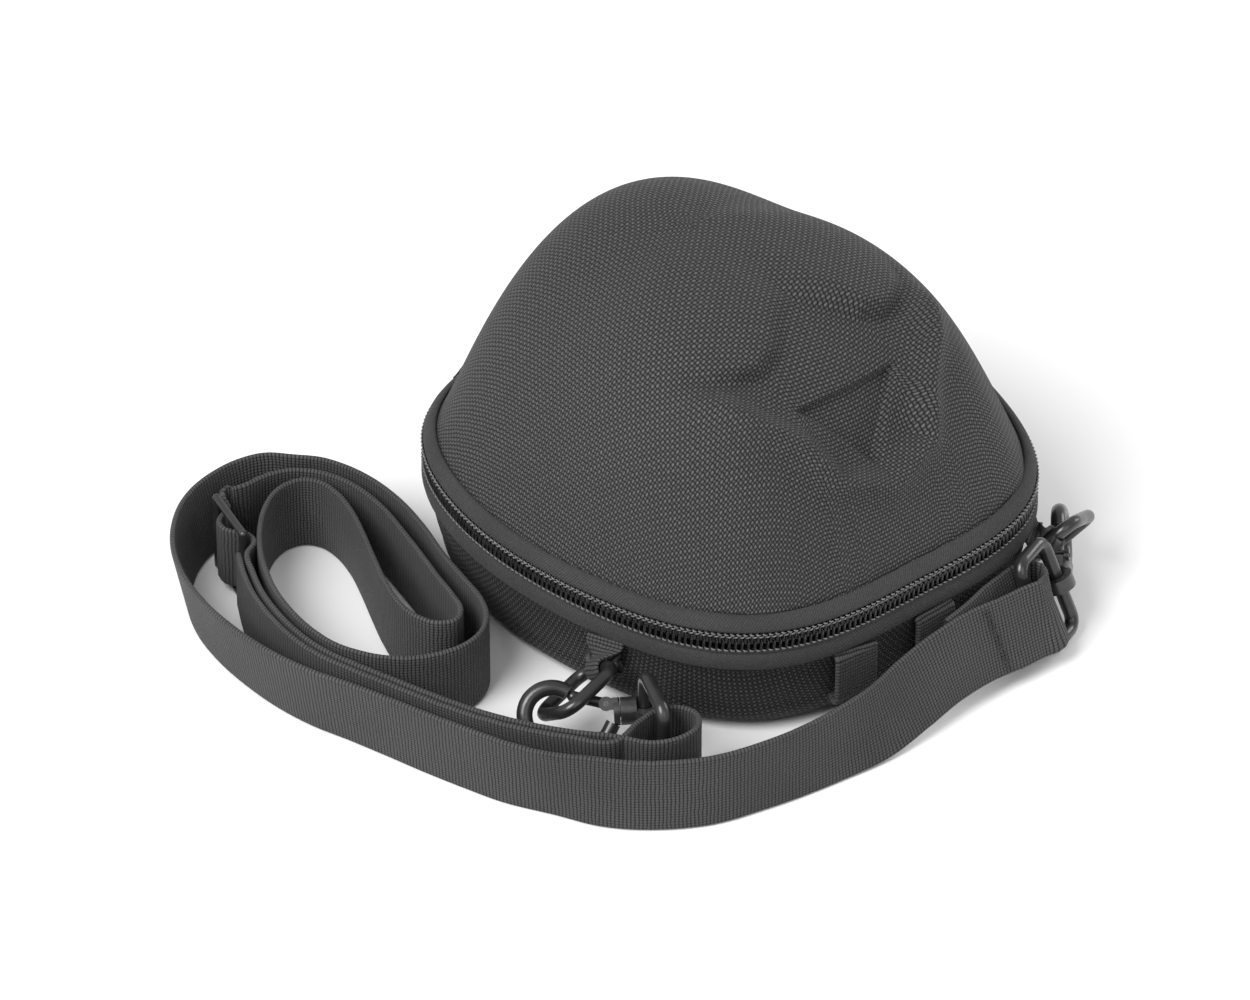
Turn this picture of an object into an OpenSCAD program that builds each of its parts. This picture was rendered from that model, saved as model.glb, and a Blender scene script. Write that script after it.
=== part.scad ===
// Compact moulded carry case: domed lid, shallow base, zip all round, two belt loops,
// two rings on fabric tabs and a webbing shoulder strap with swivel snap hooks.
// Frame: origin at the middle of the base's underside, +Z up, belt loops towards -Y,
// fabric hinge towards +Y. The outside is mirror symmetric about x = 0 except for the
// tabs, the belt loops and the strap.

/* [Case plan] */
// Half width of the case at the zip, side to side
half_x = 66.2; // [60:0.2:75]
// Half depth of the case at the zip, front to back
half_y = 67.2; // [60:0.2:75]
// Squareness of the plan (2 is an ellipse, more is squarer)
plan_power = 2.83; // [2.4:0.01:3.4]
// How far the front corners and the middle of the front stand out
plan_tri = 1.3; // [0:0.1:2]
// How far the corners are drawn towards the front and back walls
plan_hex = 0.8; // [0:0.1:1.5]

/* [Base] */
// Height of the middle of the zip above the ground
zip_z = 31; // [26:0.5:40]
// Wall of the moulded base
base_wall = 2.6; // [2:0.1:3.5]
// Radius of the base's bottom edge
base_edge_r = 9; // [5:0.5:12]
// Inward draft of the base wall from rim to bottom edge
base_draft = 2.6; // [1:0.1:4]

/* [Lid] */
// Height of the dome above its groove
dome_h = 55.7; // [45:0.5:65]
// How far the dome's top is set back towards the hinge
dome_back = 13.1; // [5:0.5:18]
// Radius that the dome's plan rounds towards at the top
dome_top_r = 80; // [70:1:90]
// Wall of the moulded lid
lid_wall = 2.6; // [2:0.1:3.5]
// Rise of the two side lobes
lobe_rise = 2.2; // [0:0.1:4]
// Rise of the V-shaped front boss
boss_rise = 2.0; // [0:0.1:4]
// Depth of the triangular panel in the boss
panel_depth = 1.3; // [0:0.1:2]

/* [Zip] */
// Height of each half of the coil
coil_h = 2.1; // [1.8:0.1:2.6]
// Gap between the two halves of the coil
coil_gap = 0.8; // [0.7:0.05:1.2]
// Thickness of the coil, inwards from the zip line
coil_t = 1.8; // [1.4:0.1:2.2]
// Thickness of the zip tape
tape_t = 0.8; // [0.5:0.1:1.2]
// Width of the upper tape that shows
tape_up = 3.4; // [2.8:0.1:4.5]
// Width of the lower tape that shows
tape_down = 5.6; // [4:0.1:7]
// Side clearance of the slider's plates to the coil
slider_play = 0.45; // [0.35:0.05:0.7]
// Thickness of the slider's plates
plate_t = 1.1; // [0.8:0.1:1.5]
// Length of the slider along the zip, in degrees of its turning circle
slider_arc = 12; // [9:0.5:14]
// Length of the pull tab
pull_len = 22; // [16:0.5:28]

/* [Hinge] */
// Half length of the fabric hinge, as an angle of the plan
hinge_half_angle = 28; // [20:1:29]
// Thickness of the fabric hinge
hinge_t = 1.0; // [0.6:0.1:1.6]

/* [Lining] */
// Thickness of the lining
lining_t = 0.7; // [0.5:0.1:1.2]
// Clearance between a shell and its lining
lining_gap = 0.3; // [0.2:0.05:0.5]

/* [Belt loops] */
// Width of a belt loop
loop_w = 12; // [8:0.5:16]
// Space between a belt loop and the wall
loop_space = 1.6; // [1:0.1:4]
// Thickness of the loop webbing
loop_t = 1.3; // [0.8:0.1:1.8]

/* [Tabs and rings] */
// Width of a ring tab
tab_w = 10; // [8:0.5:13]
// Thickness of one layer of a ring tab
tab_t = 1.0; // [0.6:0.1:1.4]
// Thickness of the ring wire
ring_wire = 3.2; // [2.4:0.1:3.6]
// Clearance of the ring wire in its tab
ring_play = 0.3; // [0.2:0.05:0.5]
// Middle-to-middle width of a ring
ring_w = 14; // [12.5:0.5:16]
// Middle-to-middle length of a ring
ring_len = 17; // [14:0.5:20]

/* [Snap hooks] */
// Thickness of the hook's bar
hook_wire = 3.8; // [3.4:0.1:4.2]
// Middle radius of the hook's head
hook_head_r = 6.4; // [6:0.1:7.5]
// Distance from the swivel to the middle of the head
hook_reach = 16; // [15:0.5:20]
// Thickness of the gate
gate_wire = 2.6; // [2.2:0.1:3.0]
// Radius of the gate's pin
gate_pin_r = 0.5; // [0.4:0.05:0.7]
// Radius of the swivel stud
stud_r = 1.4; // [1.2:0.05:1.6]
// Running clearance of pins and studs
run_play = 0.06; // [0.04:0.01:0.09]
// Diameter of the swivel boss
boss_d = 6.6; // [6:0.1:7.4]
// Thickness of the strap link's wire
link_wire = 3.4; // [2.8:0.1:3.6]
// Middle-to-middle length of the strap link
link_len = 15; // [12:0.5:18]
// Inside height of the strap link
link_h = 17.8; // [17.4:0.1:20]
// Middle-to-middle length of the right strap link, which takes the strap's full width
link_r_len = 12; // [11:0.5:15]
// Inside height of the right strap link
link_r_h = 20.6; // [20.2:0.1:22]
// Clearance of the swivel eye round the link's wire
eye_play = 0.35; // [0.2:0.05:0.5]

/* [Strap] */
// Width of the strap webbing
strap_w = 20; // [18:0.5:22]
// Width it is gathered to where it passes the left link or the slide
strap_narrow = 16.8; // [15:0.1:17]
// Thickness of the strap webbing
strap_t = 1.4; // [1:0.1:1.8]
// Thickness of the tri-glide's frame
glide_t = 2.0; // [1.6:0.1:2.6]

/* [Hidden] */
$fn = 48;
steps = 96;

// ---- plan of the case -------------------------------------------------------
function plan_r(a, inset = 0) =
    1 / pow(pow(abs(cos(a)) / (half_x - inset), plan_power)
          + pow(abs(sin(a)) / (half_y - inset), plan_power), 1 / plan_power)
    + plan_hex * cos(6 * a) + plan_tri * sin(3 * a);
function plan_pt(a, inset = 0) = plan_r(a, inset) * [cos(a), sin(a)];
function ring2(inset, n = steps) = [for (i = [0:n - 1]) plan_pt(360 * i / n, inset)];
function ring3(inset, z, n = steps) = [for (p = ring2(inset, n)) [p[0], p[1], z]];
function arc2(inset, a0, a1, n) = [for (i = [0:n]) plan_pt(a0 + (a1 - a0) * i / n, inset)];

// ---- closed skins from stacked rings ---------------------------------------
function flat(list) = [for (l = list) each l];
function side_faces(k, n, first, flip) = [for (j = [0:k - 2], i = [0:n - 1])
    let (a = first + j * n + i, b = first + j * n + (i + 1) % n, c = b + n, d = a + n)
    each (flip ? [[a, c, b], [a, d, c]] : [[a, b, c], [a, c, d]])];
function fan_faces(n, ring_start, tip, flip) = [for (i = [0:n - 1])
    let (a = ring_start + i, b = ring_start + (i + 1) % n)
    flip ? [a, tip, b] : [a, b, tip]];
// a bowl: outer rings run from the rim to the closed end, inner rings likewise
module bowl(outer, outer_tip, inner, inner_tip, opens_down) {
    n = len(outer[0]);
    ko = len(outer);
    ki = len(inner);
    first_in = ko * n + 1;
    points = concat(flat(outer), [outer_tip], flat(inner), [inner_tip]);
    rim = [for (i = [0:n - 1]) let (a = i, b = (i + 1) % n, c = first_in + b, d = first_in + a)
        each (opens_down ? [[a, c, b], [a, d, c]] : [[a, b, c], [a, c, d]])];
    faces = concat(side_faces(ko, n, 0, !opens_down),
        fan_faces(n, (ko - 1) * n, ko * n, !opens_down),
        side_faces(ki, n, first_in, opens_down),
        fan_faces(n, first_in + (ki - 1) * n, first_in + ki * n, opens_down), rim);
    polyhedron(points, [for (f = faces) [f[0], f[2], f[1]]], 4);
}
// a closed hoop from a section given as [inset, z] points
module hoop(section, n = steps) {
    k = len(section);
    points = [for (i = [0:n - 1], s = section) let (p = plan_pt(360 * i / n, s[0])) [p[0], p[1], s[1]]];
    faces = [for (i = [0:n - 1], j = [0:k - 1])
        let (a = i * k + j, b = i * k + (j + 1) % k,
             c = ((i + 1) % n) * k + (j + 1) % k, d = ((i + 1) % n) * k + j)
        each [[a, b, c], [a, c, d]]];
    polyhedron(points, faces, 4);
}
// part of an upright band that follows the plan
module band(s0, s1, z0, z1, a0, a1, n = 24) {
    translate([0, 0, z0]) linear_extrude(z1 - z0)
        polygon(concat(arc2(s0, a0, a1, n), arc2(s1, a1, a0, n)));
}

// ---- heights ----------------------------------------------------------------
coil_up_z = zip_z + coil_gap / 2;
coil_up_top = coil_up_z + coil_h;
coil_low_z = zip_z - coil_gap / 2 - coil_h;
seam = 0.1;                                   // sewn pieces stand this far apart
tape_up_z = coil_up_top + seam;
groove_z = tape_up_z + tape_up;
tape_low_top = coil_low_z - seam;
tape_low_z = tape_low_top - tape_down;
slider_half = coil_h + coil_gap / 2 - 0.3;    // half height of the slider's plates
shell_clear = 1.0;                            // above and below the slider's inner plate
lid_foot_z = tape_up_z + shell_clear;
base_top_z = coil_low_z - shell_clear;

// insets from the zip line
tape_in = 0.1;
groove_in = 3.4;
shell_in = 1.0;
tape_back = tape_in + tape_t;

// ---- dome -------------------------------------------------------------------
function smooth(t) = let (c = max(0, min(1, t))) c * c * (3 - 2 * c);
function dome_q(a) = 2.58 - 0.81 * sin(a) - 0.68 * cos(2 * a);
function dome_pt(a, h, inset = 0) =
    let (w = pow(h, 1.5),
         r = (plan_r(a, groove_in + inset) * (1 - w) + (dome_top_r - inset) * w)
             * pow(1 - h, 1 / dome_q(a)))
    [r * cos(a), r * sin(a) + dome_back * pow(h, 1.13), groove_z + (dome_h - inset) * h];
// distance in plan from a lobe's spine, as a share of the lobe's half width
lobe_tip = [19, -17];
lobe_tail = [36, 22];
lobe_tip_r = 15;
lobe_tail_r = 26;
function lobe_t(p) = let (v = lobe_tail - lobe_tip)
    max(0, min(1, ((p - lobe_tip) * v) / (v * v)));
function lobe_d(p) = let (t = lobe_t(p), c = lobe_tip + t * (lobe_tail - lobe_tip))
    lobe_tip_r + t * (lobe_tail_r - lobe_tip_r) - norm(p - c);
// front boss: half width at a height above the groove
boss_low = 21;
boss_top = 43;
function boss_w(z) = z < boss_low ? 0 : 9 + 27 * pow(min(1.15, (z - boss_low) / (boss_top - boss_low)), 1.7);
function boss_in(x, z) = min(boss_w(z) - x, 0.8 * (z - boss_low));
// panel: an upside-down triangle, seen from the front
panel_low = 22;
panel_top = 39;
panel_half = 15;
function panel_in(x, z) = min(panel_top - z,
    ((z - panel_low) * panel_half / (panel_top - panel_low) - x) * 0.75);
function relief(p) =
    let (x = abs(p[0]), z = p[2] - groove_z, front = smooth((-p[1] - 12) / 14))
    lobe_rise * smooth((lobe_d([x, p[1]]) + 1) / 5)
    + front * (boss_rise * smooth((boss_in(x, z) + 2) / 6)
        - panel_depth * smooth(panel_in(x, z) / 1.4));
dome_core = [0, 8, 24];
function dome_skin(a, h) = let (p = dome_pt(a, h), v = p - dome_core) p + relief(p) * v / norm(v);

// ---- placing helpers --------------------------------------------------------
function unit(v) = v / norm(v);
// put a module's +X along x_dir with its +Z close to z_dir
module place(at, x_dir, z_dir) {
    ex = unit(x_dir);
    ey = unit(cross(z_dir, ex));
    ez = cross(ex, ey);
    multmatrix([[ex[0], ey[0], ez[0], at[0]], [ex[1], ey[1], ez[1], at[1]],
        [ex[2], ey[2], ez[2], at[2]], [0, 0, 0, 1]]) children();
}
module rod(p, q, d) {
    v = q - p;
    translate(p) rotate([0, acos(v[2] / norm(v)), atan2(v[1], v[0])]) cylinder(d = d, h = norm(v));
}

// ---- lid --------------------------------------------------------------------
lid_n = 112;
lid_rings = 28;
// azimuth of a station; stations crowd towards the front, where the relief is
function lid_a(i, n) = let (t = 360 * i / n) t - 18 * cos(t);
function lid_h(j, k) = 1 - pow(1 - j / k, 1.7);
function lid_ring(inset, z, n) = [for (i = [0:n - 1]) let (p = plan_pt(lid_a(i, n), inset)) [p[0], p[1], z]];
function dome_ring(h, inset, n) = [for (i = [0:n - 1]) dome_pt(lid_a(i, n), h, inset)];
function inner_dome(inset, k, n) = [for (j = [0:k - 1]) dome_ring(lid_h(j, k), inset, n)];
foot_in = 1.65;                               // outer face of the shell's foot, behind the tape
module lid_shell() {
    color([0.07, 0.07, 0.075]) bowl(
        concat([lid_ring(foot_in, lid_foot_z, lid_n), lid_ring(2.1, lid_foot_z + 0.7, lid_n),
                lid_ring(3.3, groove_z - 0.4, lid_n)],
            [for (j = [0:lid_rings - 1])
                [for (i = [0:lid_n - 1]) dome_skin(lid_a(i, lid_n), lid_h(j, lid_rings))]]),
        dome_skin(90, 0.9999),
        concat([lid_ring(foot_in + lid_wall, lid_foot_z, lid_n)], inner_dome(lid_wall, 10, lid_n)),
        dome_pt(90, 1, lid_wall), true);
}
module lid_lining() {
    a = lid_wall + lining_gap + 0.7;          // the dome's shell and lining curve both ways
    b = a + lining_t;
    color([0.16, 0.16, 0.17]) bowl(
        concat([lid_ring(groove_in + a, groove_z + 1.6, 48)],
            [for (j = [1:8]) dome_ring(0.04 + 0.96 * lid_h(j, 9), a, 48)]), dome_pt(90, 1, a),
        concat([lid_ring(groove_in + b, groove_z + 1.6, 48)],
            [for (j = [1:8]) dome_ring(0.04 + 0.96 * lid_h(j, 9), b, 48)]), dome_pt(90, 1, b), true);
}
module lid_binding() {
    s = foot_in + lid_wall + 0.45;
    color([0.05, 0.05, 0.055]) hoop([[s, lid_foot_z], [s + 2, groove_z], [s + 2.1, groove_z + 1.3],
        [s + 3, groove_z + 1.3], [s + 2.9, groove_z - 0.2], [s + 0.9, lid_foot_z]], 48);
}
module zip_tape_upper() {
    color([0.06, 0.06, 0.065]) hoop([[tape_in, tape_up_z], [1.2, tape_up_z + 2],
        [2.6, groove_z], [3.1, groove_z - 0.5], [1.76, tape_up_z + 1.6], [tape_back, tape_up_z]]);
}
coil_a0 = 90 + hinge_half_angle + 2;          // coil starts beside the hinge ...
coil_a1 = 450 - hinge_half_angle - 2;         // ... and runs round the front to its other side
park_a = 52;                                  // plan angle where the slider is parked
module zip_coil_upper() {
    color([0.09, 0.09, 0.095]) band(tape_in, tape_in + coil_t, coil_up_z, coil_up_top,
        coil_a0, 360 + park_a - 8, 84);
}
module zip_coil_lower() {
    color([0.09, 0.09, 0.095]) band(tape_in, tape_in + coil_t, coil_low_z, coil_low_z + coil_h,
        coil_a0, coil_a1, 84);
}
module zip_end_stops() {
    color([0.3, 0.3, 0.31]) for (a = [coil_a0 - 1.7, coil_a1 + 0.3])
        band(-0.2, coil_t + 0.3, coil_low_z + 0.1, zip_z - 0.2, a, a + 1.4, 2);
}

// ---- base -------------------------------------------------------------------
wall_top = 20.5;
wall_in_top = 1.5;
wall_in_low = wall_in_top + base_draft - 0.5;
back_in = tape_in + 0.65;                     // shell face behind the lower tape
function base_ring(s, z, n) = [for (i = [0:n - 1]) let (p = plan_pt(360 * i / n, s)) [p[0], p[1], z]];
function base_side(e, n) = concat(
    [base_ring(back_in + e, base_top_z, n), base_ring(back_in + e, tape_low_z - 0.6, n),
     base_ring(wall_in_top + e, wall_top, n), base_ring(wall_in_low + e, base_edge_r, n)],
    [for (t = [15:15:90]) base_ring(wall_in_low + base_edge_r - (base_edge_r - e) * cos(t),
        base_edge_r - (base_edge_r - e) * sin(t), n)]);
module base_shell() {
    color([0.07, 0.07, 0.075]) bowl(base_side(0, 72), [0, 0, 0],
        base_side(base_wall, 72), [0, 0, base_wall], false);
}
module base_lining() {
    a = base_wall + lining_gap;
    b = a + lining_t;
    function liner(e) = concat([base_ring(wall_in_top + e, wall_top + 0.5, 48)],
        [for (k = [3:9]) base_side(e, 48)[k]]);
    color([0.16, 0.16, 0.17]) bowl(liner(a), [0, 0, a], liner(b), [0, 0, b], false);
}
bind_z = wall_top + 1.1;                      // lower edge of the binding inside the rim
module base_binding() {
    color([0.05, 0.05, 0.055]) translate([0, 0, bind_z]) linear_extrude(base_top_z - bind_z) difference() {
        polygon(ring2(back_in + base_wall + 0.9, 72));
        polygon(ring2(back_in + base_wall + 1.8, 72));
    }
}
module zip_tape_lower() {
    color([0.06, 0.06, 0.065]) translate([0, 0, tape_low_z]) linear_extrude(tape_down) difference() {
        polygon(ring2(tape_in - 0.05));
        polygon(ring2(tape_in + 0.5));
    }
}

// ---- hinge ------------------------------------------------------------------
hinge_s = -0.15;                              // inner face of the hinge web
// the hinge axis lies just outside the web's furthest point
hinge_y = max([for (a = [90 - hinge_half_angle:90 + hinge_half_angle])
    plan_r(a, hinge_s - hinge_t) * sin(a)]) + 0.1;
module hinge_web_lower() {
    color([0.06, 0.06, 0.065]) band(hinge_s - hinge_t, hinge_s, tape_low_z + 1, zip_z - 0.05,
        90 - hinge_half_angle, 90 + hinge_half_angle, 24);
}
module hinge_web_upper() {
    color([0.06, 0.06, 0.065]) band(hinge_s - hinge_t, hinge_s, zip_z + 0.05, groove_z - 1.2,
        90 - hinge_half_angle, 90 + hinge_half_angle, 24);
}

// ---- zip slider -------------------------------------------------------------
// the slider runs round the rear right corner on the circle through three points of the plan
function circle_mid(a, b, c) =
    let (p = 2 * (b - a), q = 2 * (c - a), u = b * b - a * a, v = c * c - a * a,
         d = p[0] * q[1] - p[1] * q[0])
    [u * q[1] - v * p[1], p[0] * v - q[0] * u] / d;
turn_c = circle_mid(plan_pt(park_a + 3), plan_pt(park_a - 7), plan_pt(park_a - 16));
turn_r = norm(plan_pt(park_a - 7) - turn_c);
park_t = atan2(plan_pt(park_a)[1] - turn_c[1], plan_pt(park_a)[0] - turn_c[0]);
module sector(r0, r1, z0, z1, half, fn = 96) {
    translate([turn_c[0], turn_c[1], z0]) rotate([0, 0, park_t - half])
        rotate_extrude(angle = 2 * half, $fn = fn) translate([r0, 0]) square([r1 - r0, z1 - z0]);
}
lug_r = turn_r + slider_play + plate_t;
lug_z = zip_z + 0.2;
pull_pin_r = 0.7;
pull_w = 4.2;
lug_t = 1;                                    // thickness of each lug beside the pull
lug_y = pull_w / 2 + 0.2;                     // inner faces of the lugs
module at_lug() {
    place([turn_c[0] + (lug_r + 1.7) * cos(park_t), turn_c[1] + (lug_r + 1.7) * sin(park_t), lug_z],
        [cos(park_t), sin(park_t), 0], [0, 0, 1]) children();
}
module zip_slider() {
    color([0.2, 0.2, 0.21]) {
        sector(turn_r + slider_play, lug_r, zip_z - slider_half, zip_z + slider_half, slider_arc / 2);
        sector(turn_r - coil_t - slider_play - plate_t, turn_r - coil_t - slider_play,
            zip_z - slider_half, zip_z + slider_half, slider_arc / 2);
        sector(turn_r - coil_t - slider_play - 0.2, turn_r + slider_play + 0.2,
            zip_z - 0.2, zip_z + 0.2, 1.6);
        at_lug() for (y = [-lug_y - lug_t, lug_y]) {
            translate([-1.9, y, -1.4]) cube([1.9, lug_t, 2.8]);
            translate([0, y, 0]) rotate([-90, 0, 0]) cylinder(r = 1.4, h = lug_t);
        }
        at_lug() translate([0, -lug_y - 0.1, 0]) rotate([-90, 0, 0])
            cylinder(r = pull_pin_r, h = 2 * lug_y + 0.2);
    }
}
module zip_pull() {
    color([0.16, 0.16, 0.17]) at_lug() difference() {
        union() {
            translate([0, -pull_w / 2, 0]) rotate([-90, 0, 0]) cylinder(r = 1.3, h = pull_w);
            translate([-0.8, -pull_w / 2, -pull_len + 2.6]) cube([1.6, pull_w, pull_len - 2.6]);
            translate([0.8, 0, -pull_len + 2.6]) rotate([0, -90, 0]) cylinder(r = 2.6, h = 1.6);
        }
        translate([0, -3, 0]) rotate([-90, 0, 0]) cylinder(r = pull_pin_r + run_play, h = 6);
        translate([2, 0, -pull_len + 2.6]) rotate([0, -90, 0]) cylinder(r = 1.1, h = 4);
    }
}

// ---- belt loops -------------------------------------------------------------
loop_low_z = base_edge_r - 1;                 // lower end of a belt loop
loop_foot_h = 1.2;
module belt_loop(a) {
    h = asin(loop_w / 2 / plan_r(a));
    out = loop_space - wall_in_top + 0.3;
    color([0.05, 0.05, 0.055]) {
        band(-out - loop_t + 0.5, -out + 0.5, loop_low_z, tape_low_z - 0.3, a - h, a + h, 6);
        band(-out + 0.5, back_in - 0.05, tape_low_z - 1.9, tape_low_z - 0.3, a - h, a + h, 6);
        band(-out + 0.5, wall_in_low - 0.1, loop_low_z, loop_low_z + loop_foot_h, a - h, a + h, 6);
    }
}
module belt_loop_left() { belt_loop(-106.4); }
module belt_loop_right() { belt_loop(-86.2); }

// ---- ring tabs and rings ----------------------------------------------------
// fold of each tab (middle of the ring's held side), way out to the hook, way of the held side
function off_plan(a, out, z) = [(plan_r(a) + out) * cos(a), (plan_r(a) + out) * sin(a), z];
fold_l = off_plan(-155.8, 4.4, 17.1);
out_l = [-0.967, -0.15, -0.21];
side_l = [0, 0.81, -0.58];
fold_r = off_plan(-54.8, 4.6, 20.5);
out_r = [0.794, 0.405, -0.453];
side_r = [0.599, -0.397, 0.695];
tab_az_l = -156.5;
tab_az_r = -54.8;
// ring frame: origin in the middle of the held side, +X away from the case, +Y along the held side
module at_ring(fold, out, side) { place(fold, out, cross(out, side)) children(); }
module ring_link() {
    r = 4;
    w = ring_w / 2;
    color([0.08, 0.08, 0.085]) {
        for (y = [-w, w]) translate([r, y, 0]) rotate([0, 90, 0]) cylinder(d = ring_wire, h = ring_len - 2 * r);
        for (x = [0, ring_len]) translate([x, -w + r, 0]) rotate([-90, 0, 0])
            cylinder(d = ring_wire, h = ring_w - 2 * r);
        for (c = [[r, -w + r, 180], [ring_len - r, -w + r, 270], [ring_len - r, w - r, 0], [r, w - r, 90]])
            translate([c[0], c[1], 0]) rotate([0, 0, c[2]]) rotate_extrude(angle = 90)
                translate([r, 0]) circle(d = ring_wire, $fn = 24);
    }
}
sleeve_r = ring_wire / 2 + ring_play;
module ring_sleeve(fold, out, side) {
    len_t = min(tab_w, ring_w - 8 - 1.4);
    difference() {
        union() {
            at_ring(fold, out, side) translate([0, -len_t / 2, 0]) rotate([-90, 0, 0])
                cylinder(r = sleeve_r + tab_t, h = len_t);
            children();
        }
        at_ring(fold, out, side) translate([0, -len_t, 0]) rotate([-90, 0, 0])
            cylinder(r = sleeve_r, h = 2 * len_t);
    }
}
module ring_tab_left() {
    color([0.05, 0.05, 0.055]) {
        ring_sleeve(fold_l, out_l, side_l) at_ring(fold_l, out_l, side_l)
            translate([-sleeve_r - 3.2, -2.6, -tab_t]) cube([3.6, 5.2, 2 * tab_t]);
        band(-1.2, 0.65, wall_top - 6, tape_low_z - 0.3, tab_az_l - 4.2, tab_az_l + 4.2, 5);
    }
}
module ring_tab_right() {
    color([0.05, 0.05, 0.055]) {
        ring_sleeve(fold_r, out_r, side_r) rotate([0, 0, tab_az_r])
            translate([plan_r(tab_az_r) + 0.5, -2.5, wall_top + 0.6]) cube([4.6, 5, 1.4]);
        band(-1.2, 0.65, wall_top - 1.2, tape_low_z - 0.3, tab_az_r - 4.2, tab_az_r + 4.2, 5);
    }
}
module ring_left() { at_ring(fold_l, out_l, side_l) ring_link(); }
module ring_right() { at_ring(fold_r, out_r, side_r) ring_link(); }

// ---- snap hooks, swivel eyes, strap links -----------------------------------
// hook frame: origin at the swivel face, +X towards the head, the hook lies in XY
hook_l_at = fold_l + [-3.7, -11.6, -3.8];
hook_l_dir = [-0.787, 0.615, -0.047];
hook_l_up = [0.51, 0.6, -0.62];
link_l_dir = [-0.4, -0.92, 0];
hook_r_at = fold_r + [0.6, -3, -7.1];
hook_r_dir = [0.7, 0.7, -0.14];
hook_r_up = [0.65, -0.744, 0.154];
link_r_dir = [-0.936, -0.35, -0.034];
link_l_up = [0, 0, 1];
link_r_up = [-0.164, 0.349, 0.923];
pivot = [3.2, 1.9];
nose_a = 128;
nose = [hook_reach + hook_head_r * cos(nose_a), hook_head_r * sin(nose_a)];
gate_tip = nose + (gate_wire / 2 + 0.25) * [-sin(nose_a), cos(nose_a)];
gate_dir = unit(gate_tip - pivot);
cheek_in = gate_wire / 2 + 0.15;
eye_hole_r = link_wire / 2 + eye_play;
eye_out_r = eye_hole_r + 1.9;
eye_x = -(eye_out_r + 1.9);
module hook() {
    color([0.08, 0.08, 0.085]) difference() {
        union() {
            rotate([0, 90, 0]) cylinder(d = boss_d, h = 1.5);
            translate([-1.5 - 1.2, 0, 0]) rotate([0, 90, 0]) cylinder(r = stud_r, h = 2.8);
            translate([-3.0, 0, 0]) rotate([0, 90, 0]) cylinder(r = stud_r + 0.8, h = 1);
            rod([1.75, -2.7, 0], [3.94, -hook_head_r, 0], hook_wire - 0.2);
            translate([3.94, -hook_head_r, 0]) sphere(d = hook_wire + 0.3);
            translate([3.94, -hook_head_r, 0]) rotate([0, 90, 0])
                cylinder(d = hook_wire, h = hook_reach - 3.94);
            translate([hook_reach, 0, 0]) rotate([0, 0, -90]) rotate_extrude(angle = 90 + nose_a)
                translate([hook_head_r, 0]) circle(d = hook_wire, $fn = 32);
            for (z = [-cheek_in - 1.2, cheek_in]) translate([0, 0, z]) {
                translate([0.4, pivot[1] - 1.5, 0]) cube([pivot[0] - 0.4, 2.8, 1.2]);
                translate([pivot[0], pivot[1], 0]) cylinder(r = 1.7, h = 1.2);
            }
        }
        translate([pivot[0], pivot[1], -5]) cylinder(r = gate_pin_r + run_play, h = 10);
    }
}
module gate() {
    color([0.11, 0.11, 0.115]) difference() {
        union() {
            translate([pivot[0], pivot[1], -gate_wire / 2 - 0.08]) cylinder(r = 1.4, h = gate_wire + 0.16);
            rod([pivot[0], pivot[1], 0] + 0.9 * [gate_dir[0], gate_dir[1], 0],
                [gate_tip[0], gate_tip[1], 0], gate_wire);
            translate([gate_tip[0], gate_tip[1], 0]) sphere(d = gate_wire + 0.16, $fn = 32);
        }
        translate([pivot[0], pivot[1], -5]) cylinder(r = gate_pin_r + run_play, h = 10);
    }
}
module gate_pin() {
    color([0.3, 0.3, 0.31]) translate([pivot[0], pivot[1], -cheek_in - 1.4])
        cylinder(r = gate_pin_r, h = 2 * cheek_in + 2.8);
}
// the eye's hole runs along the link's near side, given in row directions
module swivel_eye(at, dir, up) {
    color([0.08, 0.08, 0.085]) difference() {
        union() {
            place(at, dir, up) translate([-3.9, 0, 0]) rotate([0, 90, 0]) cylinder(d = boss_d, h = 3.8);
            place(at, dir, up) translate([eye_x, 0, -1.7]) cylinder(r = eye_out_r, h = 3.4);
        }
        place(at, dir, up) {
            translate([eye_x, 0, -5]) cylinder(r = eye_hole_r, h = 10);
            translate([-3.0, 0, 0]) rotate([0, 90, 0]) cylinder(r = stud_r + run_play, h = 4);
            translate([-3.1, 0, 0]) rotate([0, 90, 0]) cylinder(r = stud_r + 0.8 + run_play, h = 1.2);
        }
    }
}
function eye_at(at, dir) = at + eye_x * unit(dir);
// a rounded rectangular wire link standing upright; origin in the middle of its near side
module strap_link(at, dir, way, up, length, inside) {
    r = 3;
    h = (inside + link_wire) / 2;
    color([0.08, 0.08, 0.085]) place(eye_at(at, dir), way, up) {
        for (x = [0, length]) translate([x, 0, -h + r]) cylinder(d = link_wire, h = 2 * (h - r));
        for (z = [-h, h]) translate([r, 0, z]) rotate([0, 90, 0]) cylinder(d = link_wire, h = length - 2 * r);
        for (c = [[r, -h + r, 180], [length - r, -h + r, 270], [length - r, h - r, 0], [r, h - r, 90]])
            translate([c[0], 0, c[1]]) rotate([90, 0, 0]) rotate([0, 0, c[2]]) rotate_extrude(angle = 90)
                translate([r, 0]) circle(d = link_wire, $fn = 24);
    }
}
module hook_left() { place(hook_l_at, hook_l_dir, hook_l_up) hook(); }
module gate_left() { place(hook_l_at, hook_l_dir, hook_l_up) gate(); }
module gate_pin_left() { place(hook_l_at, hook_l_dir, hook_l_up) gate_pin(); }
module swivel_eye_left() { swivel_eye(hook_l_at, hook_l_dir, link_l_up); }
module strap_link_left() { strap_link(hook_l_at, hook_l_dir, link_l_dir, link_l_up, link_len, link_h); }
module hook_right() { place(hook_r_at, hook_r_dir, hook_r_up) hook(); }
module gate_right() { place(hook_r_at, hook_r_dir, hook_r_up) gate(); }
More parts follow.
